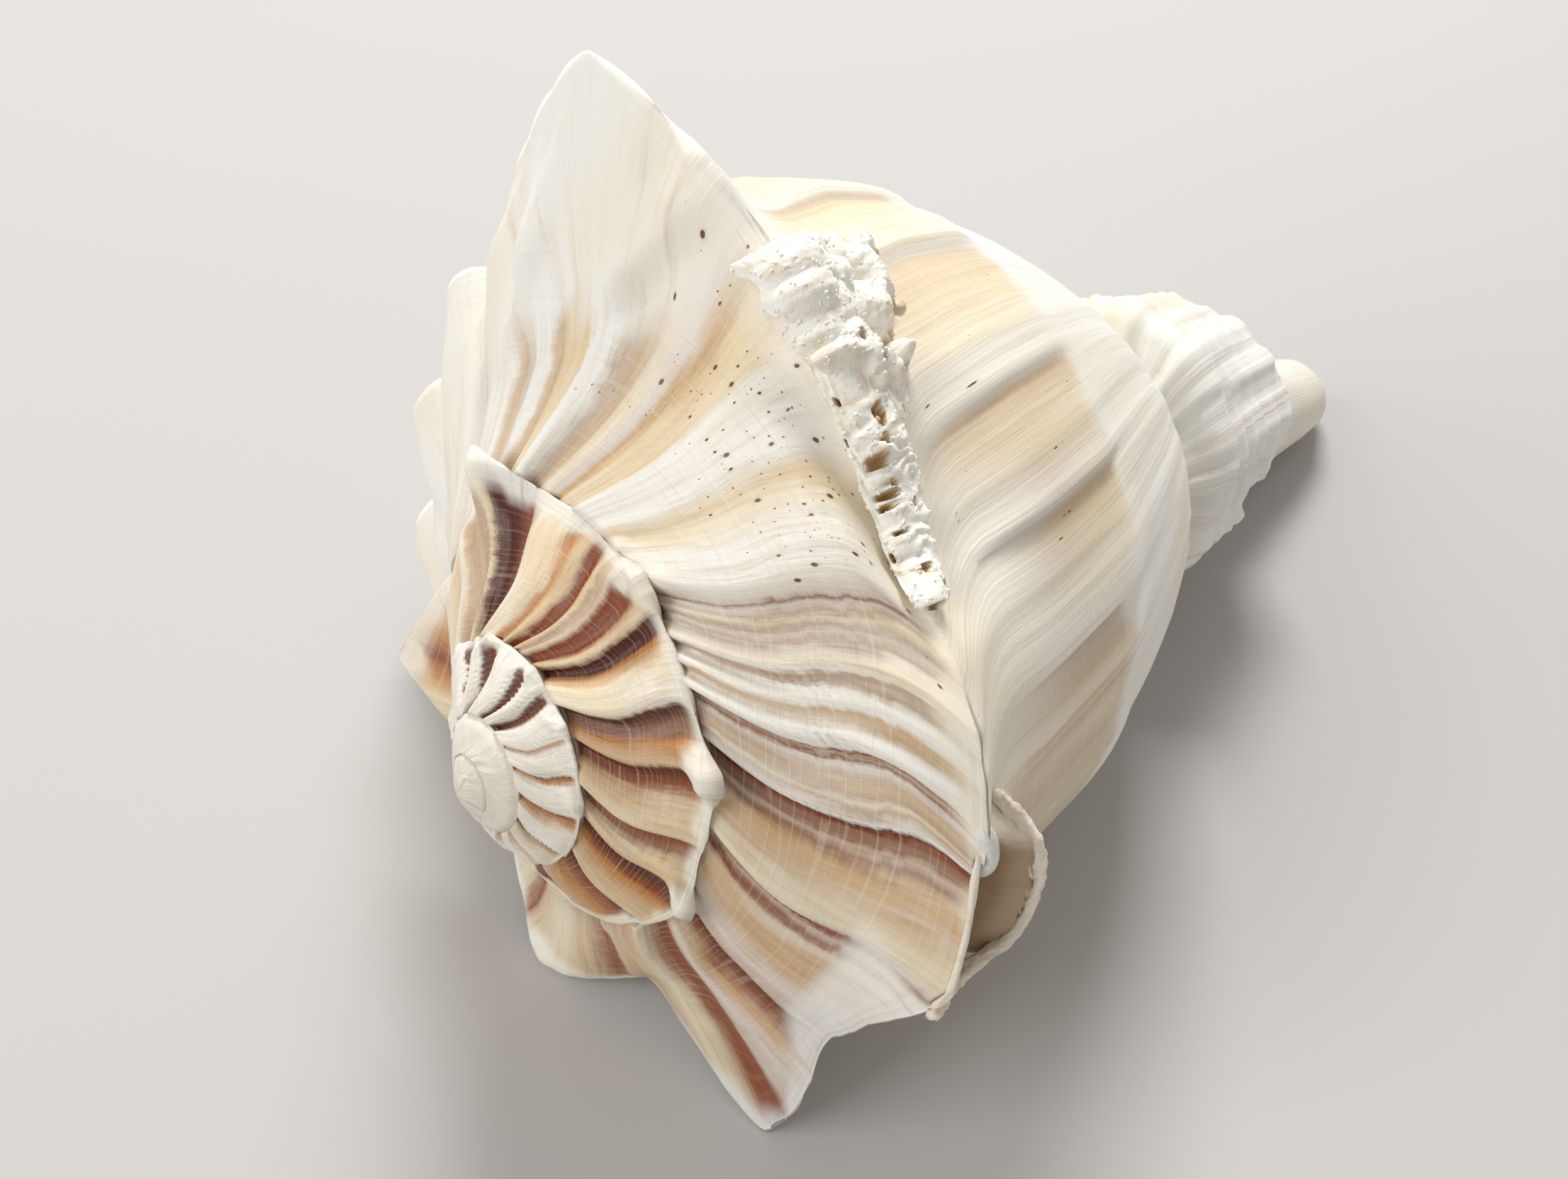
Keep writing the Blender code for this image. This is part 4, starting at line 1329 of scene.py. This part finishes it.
def borings_group() -> bpy.types.NodeTree:
    """A shader group that finds small round borings, with their pale rims.

    Returns:
        The group, with a hole mask and a rim mask.
    """
    group = bpy.data.node_groups.new("borings", "ShaderNodeTree")
    kinds = {"Vector": "NodeSocketVector", "Spacing": "NodeSocketFloat", "Amount": "NodeSocketFloat"}
    for name, kind in kinds.items():
        group.interface.new_socket(name=name, in_out="INPUT", socket_type=kind)
    for name in ("Hole", "Rim"):
        group.interface.new_socket(name=name, in_out="OUTPUT", socket_type="NodeSocketFloat")
    pen = NodePen(group)
    given = pen.node("NodeGroupInput")
    spots = pen.node("ShaderNodeTexVoronoi", feature="F1", voronoi_dimensions="2D")
    pen.link(given.outputs["Vector"], spots.inputs["Vector"])
    pen.link(pen.math("DIVIDE", 1.0, given.outputs["Spacing"]), spots.inputs["Scale"])
    part = pen.node("ShaderNodeSeparateColor")
    pen.link(spots.outputs["Color"], part.inputs["Color"])
    chosen = pen.math("LESS_THAN", part.outputs["Red"], given.outputs["Amount"])
    squared = pen.times(part.outputs["Green"], part.outputs["Green"])
    size = pen.plus(pen.times(squared, 0.13), 0.028)
    ratio = pen.math("DIVIDE", spots.outputs["Distance"], size)
    hole = pen.times(pen.span(ratio, 1.0, 0.75), chosen)
    rim = pen.times(pen.span(ratio, 2.2, 1.1), chosen)
    out = pen.node("NodeGroupOutput")
    pen.link(hole, out.inputs["Hole"])
    pen.link(rim, out.inputs["Rim"])
    return group


@dataclass(frozen=True)
class Fields:
    """The places, noises and threads that the colour and the fine relief of the shell share."""

    place: bpy.types.NodeSocket
    line: bpy.types.NodeSocket
    v: bpy.types.NodeSocket
    outside: bpy.types.NodeSocket
    on_side: bpy.types.NodeSocket
    wander: bpy.types.NodeSocket
    lines: bpy.types.NodeSocket
    hairs: bpy.types.NodeSocket
    broad: bpy.types.NodeSocket
    cloud: bpy.types.NodeSocket
    patch: bpy.types.NodeSocket
    grit: bpy.types.NodeSocket
    cord: bpy.types.NodeSocket
    cord_row: bpy.types.NodeSocket
    side_cord: bpy.types.NodeSocket


@dataclass(frozen=True)
class ShellFinish:
    """Porcelain-like shell with stripes, cords and growth lines."""

    markings: Markings
    grain: Colour = (0.80, 0.70, 0.58, 1.0)
    warm: Colour = (0.96, 0.86, 0.70, 1.0)
    amber: Colour = (0.95, 0.77, 0.52, 1.0)
    lining: Colour = (0.72, 0.50, 0.30, 1.0)
    # The broken spine's inside: its own brown, darkened deeper in as painted shade.
    hollow: Colour = (0.33, 0.185, 0.075, 1.0)
    seam: Colour = (0.16, 0.085, 0.045, 1.0)
    # Dark brown painted as shade in the crease along the keel.
    crease: Colour = (0.33, 0.21, 0.13, 1.0)
    # Near-black painted as shade inside the borings.
    pit: Colour = (0.16, 0.075, 0.028, 1.0)
    roughness: float = 0.28
    rough_cloud: float = 0.20
    rough_white: float = 0.06
    subsurface: float = 0.10
    subsurface_radius: tuple[float, float, float] = (0.002, 0.0014, 0.0009)
    subsurface_scale: float = 0.5
    specular: float = 0.5
    shoulder_cords: float = 23.0
    side_cords: float = 43.0
    cord_softness: float = 0.72
    side_paleness: float = 0.32
    shoulder_thread: float = 0.26
    side_thread: float = 0.12
    shoulder_rib: float = 0.12
    side_rib: float = 0.06
    crease_span: tuple[float, float] = (-22.0, 8.0)
    bump_strength: float = 0.6
    bump_distance: float = 0.00032

    def material(self, borings: bpy.types.NodeTree) -> bpy.types.Material:
        """Builds the finish.

        Args:
            borings: The group that finds borings.

        Returns:
            The material.
        """
        made = bpy.data.materials.new("shell")
        made.use_nodes = True
        pen = NodePen(made.node_tree)
        shader = made.node_tree.nodes["Principled BSDF"]
        fields = self.fields(pen)
        crease = self.keel_crease(pen, fields)
        hole, rim = self.bored(pen, fields, borings)

        base = self.weathered(pen, fields, self.striped(pen, fields))
        base = self.marked(pen, fields, base, crease)
        base = pen.mix(pen.times(rim, 0.35), base, Tone.TAN.colour())
        # Painted shade: the borings' holes are darkened to near-black.
        pen.link(pen.mix(hole, base, self.pit), shader.inputs["Base Color"])

        rough = pen.plus(self.roughness, pen.times(fields.cloud, self.rough_cloud))
        rough = pen.plus(rough, pen.times(pen.attribute("white"), self.rough_white))
        pen.link(rough, shader.inputs["Roughness"])
        shader.inputs["Subsurface Weight"].default_value = self.subsurface
        shader.inputs["Subsurface Radius"].default_value = self.subsurface_radius
        shader.inputs["Subsurface Scale"].default_value = self.subsurface_scale
        shader.inputs["Specular IOR Level"].default_value = self.specular
        pen.link(self.bump(pen, fields, hole, crease), shader.inputs["Normal"])
        return made

    def fields(self, pen: NodePen) -> Fields:
        """Lays out what the colour and the relief share."""
        place = pen.node("ShaderNodeAttribute", attribute_name="growth_place").outputs["Vector"]
        spot = pen.node("ShaderNodeTexCoord").outputs["Object"]
        part = pen.node("ShaderNodeSeparateXYZ")
        pen.link(place, part.inputs["Vector"])
        v = pen.times(part.outputs["Y"], 0.1)
        wander = pen.noise(pen.scaled(place, (0.30, 0.45, 1.0)), 1.0, 2.0)
        uneven = pen.noise(pen.scaled(place, (0.04, 0.9, 1.0)), 1.0, 3.0)
        cord_place = pen.plus(pen.times(v, self.shoulder_cords), pen.times(wander, 2.4))
        cord_place = pen.plus(cord_place, pen.times(uneven, 3.0))
        side_place = pen.plus(pen.times(v, self.side_cords), pen.times(wander, 1.2))
        row = pen.node("ShaderNodeTexWhiteNoise", noise_dimensions="1D")
        pen.link(pen.math("ROUND", cord_place), row.inputs["W"])
        row_share = pen.span(row.outputs["Value"], 0.0, 0.8, 0.25, 1.0)
        return Fields(
            place=place,
            line=pen.times(part.outputs["X"], 10.0),
            v=v,
            outside=pen.minus(1.0, pen.attribute("lining")),
            on_side=pen.span(v, 1.03, 1.06),
            wander=wander,
            lines=pen.noise(pen.scaled(place, (6.0, 0.20, 1.0)), 1.0, 4.0, 0.7),
            hairs=pen.noise(pen.scaled(place, (22.0, 0.5, 1.0)), 1.0, 2.0, 0.6),
            broad=pen.noise(pen.scaled(place, (1.2, 0.10, 1.0)), 1.0, 3.0, 0.6),
            cloud=pen.noise(spot, 70.0, 4.0),
            patch=pen.noise(spot, 28.0, 2.0),
            grit=pen.noise(spot, 900.0, 2.0),
            cord=pen.times(self.thread(pen, cord_place), row_share),
            cord_row=row.outputs["Value"],
            side_cord=self.thread(pen, side_place),
        )

    def striped(self, pen: NodePen, fields: Fields) -> bpy.types.NodeSocket:
        """The stripes of the shoulder and of the side, ragged where cords cross them."""
        shift = pen.times(pen.minus(fields.cord_row, 0.5), 0.45)
        ragged = pen.times(pen.minus(fields.lines, 0.5), 3.2)
        loose = pen.times(pen.minus(fields.wander, 0.5), 3.0)
        warped = pen.plus(pen.plus(fields.line, loose), pen.plus(ragged, shift))
        shoulder = pen.stripes(warped, self.markings.shoulder())
        side = pen.stripes(pen.plus(fields.line, pen.times(ragged, 0.35)), self.markings.side)
        side = pen.mix(self.side_paleness, side, Tone.CREAM.colour())
        return pen.mix(fields.on_side, shoulder, side)

    def weathered(
        self,
        pen: NodePen,
        fields: Fields,
        base: bpy.types.NodeSocket,
    ) -> bpy.types.NodeSocket:
        """Grain, paler and warmer patches, the amber of the spire, the cords and the white wear."""
        pearl, ivory, cream = Tone.PEARL.colour(), Tone.IVORY.colour(), Tone.CREAM.colour()
        base = pen.mix(pen.span(fields.lines, 0.47, 0.70, 0.0, 0.70), base, self.grain, "MULTIPLY")
        base = pen.mix(pen.span(fields.hairs, 0.50, 0.75, 0.0, 0.30), base, self.grain, "MULTIPLY")
        bright = pen.node("ShaderNodeRGBToBW")
        pen.link(base, bright.inputs["Color"])
        pale = pen.span(bright.outputs["Val"], 0.05, 0.42, 0.08, 1.0)
        base = pen.mix(pen.times(pen.span(fields.broad, 0.50, 0.70, 0.0, 0.42), pale), base, pearl)
        base = pen.mix(pen.times(pen.span(fields.hairs, 0.45, 0.25, 0.0, 0.25), pale), base, ivory)
        base = pen.mix(pen.span(fields.patch, 0.42, 0.70, 0.0, 0.30), base, self.warm, "MULTIPLY")

        amber = pen.span(fields.line, -186.0, -200.0, 0.0, 0.75)
        amber = pen.times(amber, pen.span(fields.broad, 0.34, 0.60))
        amber = pen.times(amber, pen.span(fields.line, -560.0, -500.0, 0.2, 1.0))
        base = pen.mix(amber, base, self.amber, "MULTIPLY")

        shoulder_threads = pen.times(fields.cord, self.shoulder_thread)
        side_threads = pen.times(fields.side_cord, self.side_thread)
        threads = pen.mix(fields.on_side, shoulder_threads, side_threads)
        threads = pen.times(threads, pen.span(fields.patch, 0.35, 0.6, 0.35, 1.0))
        base = pen.mix(threads, base, cream, "LIGHTEN")
        base = pen.mix(pen.times(pen.span(fields.cloud, 0.5, 0.75, 0.0, 0.16), pale), base, ivory)

        white = pen.times(pen.attribute("white"), pen.span(fields.lines, 0.70, 0.52, 0.62, 1.0))
        worn = pen.mix(pen.span(fields.patch, 0.40, 0.66), pearl, cream)
        worn = pen.mix(pen.span(fields.broad, 0.56, 0.72, 0.0, 0.5), worn, Tone.LILAC.colour())
        return pen.mix(white, base, worn)

    def marked(
        self,
        pen: NodePen,
        fields: Fields,
        base: bpy.types.NodeSocket,
        crease: bpy.types.NodeSocket,
    ) -> bpy.types.NodeSocket:
        """The crease along the keel darkened as painted shade, the lining, the broken spine's inside with
        painted shade deeper in, and the suture.
        """
        # Painted shade: the keel crease is darkened towards dark brown.
        base = pen.mix(pen.times(crease, 0.50), base, self.crease)
        base = pen.mix(pen.times(pen.attribute("lining"), 0.9), base, self.lining)
        # The broken spine's inside, with painted shade deeper in.
        base = pen.mix(pen.attribute("hollow"), base, self.hollow)
        seam = pen.plus(pen.attribute("seam"), pen.times(fields.cloud, 0.35))
        return pen.mix(pen.span(seam, 0.70, 1.0, 0.0, 0.8), base, self.seam)

    def bump(
        self,
        pen: NodePen,
        fields: Fields,
        hole: bpy.types.NodeSocket,
        crease: bpy.types.NodeSocket,
    ) -> bpy.types.NodeSocket:
        """The fine relief: growth lines, cords and grit, with the borings and the crease sunk in."""
        shoulder_ribs = pen.times(fields.cord, self.shoulder_rib)
        side_ribs = pen.times(fields.side_cord, self.side_rib)
        ribs = pen.mix(fields.on_side, shoulder_ribs, side_ribs)
        height = pen.plus(pen.times(fields.lines, 0.9), pen.times(ribs, fields.outside))
        height = pen.plus(height, pen.times(fields.grit, 0.12))
        height = pen.minus(height, pen.times(hole, 1.8))
        height = pen.minus(height, pen.times(crease, 0.9))
        return pen.bump(height, self.bump_strength, self.bump_distance)

    def thread(self, pen: NodePen, place: bpy.types.NodeSocket) -> bpy.types.NodeSocket:
        """A thin soft line at each whole number of a place."""
        return pen.span(pen.math("COSINE", pen.times(place, 2 * math.pi)), self.cord_softness, 0.99)

    def keel_crease(self, pen: NodePen, fields: Fields) -> bpy.types.NodeSocket:
        """The thin crease along the keel between the crust and the broken spine; its mask darkens the colour
        as painted shade and sinks the fine relief.
        """
        start, end = self.crease_span
        wobble = pen.times(pen.minus(fields.cloud, 0.5), 0.016)
        away = pen.math("ABSOLUTE", pen.plus(pen.minus(fields.v, 1.0), wobble))
        where = pen.span(fields.line, start - 1, start + 1)
        where = pen.times(where, pen.span(fields.line, end + 1, end - 1))
        return pen.times(pen.span(away, 0.0045, 0.001), where)

    def bored(
        self,
        pen: NodePen,
        fields: Fields,
        borings: bpy.types.NodeTree,
    ) -> tuple[bpy.types.NodeSocket, bpy.types.NodeSocket]:
        """Fine and larger borings together: their holes and their rims.

        Args:
            pen: Draws in the material.
            fields: What the colour and the relief share.
            borings: The group that finds borings.

        Returns:
            The hole mask and the rim mask.
        """
        found = []
        for stretch, spacing, amount in ((0.45, 0.10, 0.24), (0.26, 0.20, 0.70)):
            made = pen.node("ShaderNodeGroup", node_tree=borings)
            pen.link(pen.scaled(fields.place, (1.0, stretch, 1.0)), made.inputs["Vector"])
            made.inputs["Spacing"].default_value = spacing
            pen.link(pen.times(pen.attribute("pitted"), amount), made.inputs["Amount"])
            found.append(made.outputs)
        return tuple(pen.math("MAXIMUM", found[0][name], found[1][name]) for name in ("Hole", "Rim"))


@dataclass(frozen=True)
class CrustFinish:
    """Dry white chalk with ochre painted as shade in its holes and between its lumps, and the worn edges of
    the broken spine.
    """

    name: str = "chalk_crust"
    chalk: Colour = (0.93, 0.90, 0.82, 1.0)
    dusty: Colour = (0.78, 0.64, 0.44, 1.0)
    # Ochre painted as shade in the holes and between the lumps.
    ochre: Colour = (0.55, 0.36, 0.16, 1.0)
    roughness: float = 0.78
    subsurface: float = 0.15
    subsurface_radius: tuple[float, float, float] = (0.0016, 0.0011, 0.0007)
    subsurface_scale: float = 0.5
    specular: float = 0.3
    bump_strength: float = 0.6
    bump_distance: float = 0.0004

    def material(self) -> bpy.types.Material:
        """Builds the finish."""
        made = bpy.data.materials.new(self.name)
        made.use_nodes = True
        pen = NodePen(made.node_tree)
        shader = made.node_tree.nodes["Principled BSDF"]
        spot = pen.node("ShaderNodeTexCoord").outputs["Object"]
        cloud = pen.noise(spot, 420.0, 4.0, 0.6)
        fine = pen.noise(spot, 2600.0, 3.0, 0.6)
        cavity = pen.attribute("cavity")
        base = pen.mix(pen.span(cloud, 0.50, 0.72, 0.0, 0.7), self.chalk, self.dusty)
        # Painted shade: ochre where the cavity share is high, in holes and between lumps, made uneven by the
        # cloud.
        cavity_shade = pen.plus(cavity, pen.times(cloud, 0.2))
        base = pen.mix(pen.span(cavity_shade, 0.25, 0.85), base, self.ochre)
        pen.link(base, shader.inputs["Base Color"])
        shader.inputs["Roughness"].default_value = self.roughness
        shader.inputs["Specular IOR Level"].default_value = self.specular
        shader.inputs["Subsurface Weight"].default_value = self.subsurface
        shader.inputs["Subsurface Radius"].default_value = self.subsurface_radius
        shader.inputs["Subsurface Scale"].default_value = self.subsurface_scale
        height = pen.plus(cloud, pen.times(fine, 0.4))
        pen.link(pen.bump(height, self.bump_strength, self.bump_distance), shader.inputs["Normal"])
        return made


WORN_EDGE = CrustFinish("worn_edge", (0.80, 0.73, 0.62, 1.0), (0.60, 0.46, 0.31, 1.0), roughness=0.50)
GLASSY_PLUG = CrustFinish("glassy_plug", (0.76, 0.75, 0.71, 1.0), (0.62, 0.58, 0.50, 1.0), roughness=0.22)


@dataclass(frozen=True)
class Lamp:
    """A square soft light: its name, place, length of side and power in watts."""

    name: str
    place: tuple[float, float, float]
    size: float
    power: float


@dataclass
class Studio:
    """The plain floor, the soft lights and the camera at the photograph's viewing angle."""

    camera_place: tuple[float, float, float] = (-0.0177, -0.12732, 0.16782)
    camera_turn: tuple[float, float, float] = (41.799, 0.678, -0.005)
    focal_pixels: float = 2000.0
    floor_colour: Colour = (0.50, 0.485, 0.47, 1.0)
    floor_half: float = 3.0
    air_colour: Colour = (1.0, 0.98, 0.95, 1.0)
    air_strength: float = 0.48
    aim: tuple[float, float, float] = (0.0, 0.0, 0.04)
    lamps: tuple[Lamp, ...] = (
        Lamp("window", (0.06, 0.66, 0.84), 0.36, 10.5),
        Lamp("fill", (-0.75, -0.35, 0.65), 0.6, 5.0),
    )

    def camera(self) -> bpy.types.Object:
        """Sets the camera."""
        data = bpy.data.cameras.new("camera")
        data.sensor_width = 36.0
        data.lens = 36.0 * self.focal_pixels / PHOTO_SIZE[0]
        data.clip_start = 0.01
        made = bpy.data.objects.new("camera", data)
        made.location = self.camera_place
        made.rotation_euler = [math.radians(a) for a in self.camera_turn]
        bpy.context.scene.collection.objects.link(made)
        bpy.context.scene.camera = made
        return made

    def floor(self) -> bpy.types.Object:
        """Lays a wide plain floor."""
        mesh = bpy.data.meshes.new("floor")
        half = self.floor_half
        corners = [(-half, -half, 0), (half, -half, 0), (half, half, 0), (-half, half, 0)]
        mesh.from_pydata(corners, [], [(0, 1, 2, 3)])
        made = bpy.data.objects.new("floor", mesh)
        bpy.context.scene.collection.objects.link(made)
        material = bpy.data.materials.new("floor")
        material.use_nodes = True
        shader = material.node_tree.nodes["Principled BSDF"]
        shader.inputs["Base Color"].default_value = self.floor_colour
        shader.inputs["Roughness"].default_value = 0.9
        shader.inputs["Specular IOR Level"].default_value = 0.2
        mesh.materials.append(material)
        return made

    def light(self, lamp: Lamp) -> bpy.types.Object:
        """Hangs a soft light that faces the shell.

        Args:
            lamp: What it is and where it hangs.

        Returns:
            The light's object.
        """
        data = bpy.data.lights.new(lamp.name, "AREA")
        data.size = lamp.size
        data.energy = lamp.power
        made = bpy.data.objects.new(lamp.name, data)
        made.location = lamp.place
        direction = Vector(self.aim) - Vector(lamp.place)
        made.rotation_euler = direction.to_track_quat("-Z", "Y").to_euler()
        bpy.context.scene.collection.objects.link(made)
        return made

    def build(self) -> None:
        """Puts up the floor, the lights, the surrounding light and the camera."""
        self.floor()
        for lamp in self.lamps:
            self.light(lamp)
        world = bpy.data.worlds.new("studio")
        world.use_nodes = True
        back = world.node_tree.nodes["Background"]
        back.inputs["Color"].default_value = self.air_colour
        back.inputs["Strength"].default_value = self.air_strength
        bpy.context.scene.world = world
        bpy.context.scene.view_settings.view_transform = "Standard"
        self.camera()


def dress(piece: bpy.types.Object, material: bpy.types.Material) -> None:
    """Gives a piece its material and its place in the frame."""
    piece.data.materials.append(material)
    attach(piece, "root")
    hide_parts("shell")
    LOG.info("%s: %d faces", piece.name, len(piece.data.polygons))


def ridges(relief: Relief) -> list[Ridge]:
    """The plug and the two rims of the broken spine."""
    plug = (
        (-17.5, 1.0, -0.9, 0.7), (-20.0, 1.008, -0.1, 1.0), (-22.5, 1.015, 0.1, 1.1),
        (-25.5, 1.018, -0.4, 0.9),
    )
    right = (
        (-17.5, 1.055, -0.2, 0.7), (-20.5, 1.060, 1.8, 0.8), (-25.0, 1.062, 4.8, 0.62),
        (-31.0, 1.062, 5.5, 0.55), (-37.0, 1.060, 5.2, 0.6), (-42.0, 1.050, 3.4, 0.75),
        (-45.5, 1.02, 0.9, 0.9), (-47.5, 0.99, -0.3, 0.7),
    )
    left = (
        (-22.0, 0.965, -0.3, 0.3), (-26.0, 0.962, 0.2, 0.38), (-32.0, 0.962, 0.4, 0.36),
        (-40.0, 0.962, 0.5, 0.4), (-46.0, 0.975, 0.1, 0.45),
    )
    return [
        Ridge("broken_spine_plug", relief, plug, rough=0.06, lump=3.0, cap=0.22, sides=32),
        Ridge("broken_spine_right_rim", relief, right, rough=0.30, lump=0.9, seed=2),
        Ridge("broken_spine_left_rim", relief, left, rough=0.12, lump=1.2, seed=3),
    ]


def main() -> None:
    """Builds the shell and its crust, dresses them, and lights the scene."""
    logging.basicConfig(level=logging.INFO, format="%(name)s %(message)s")
    growth, markings = Growth(), Markings()
    relief = Relief(growth, markings)
    shell = ShellFinish(markings).material(borings_group())
    chalk = CrustFinish().material()
    edge = WORN_EDGE.material()
    plug = GLASSY_PLUG.material()
    dress(ShellBody(growth, relief).build(), shell)
    crust = Crust(relief).build()
    grains = Grains(crust, chalk).build()
    dress(crust, chalk)
    dress(grains, chalk)
    for ridge, finish in zip(ridges(relief), (plug, edge, edge)):
        dress(ridge.build(), finish)
    Studio().build()


if __name__ == "__main__":
    main()
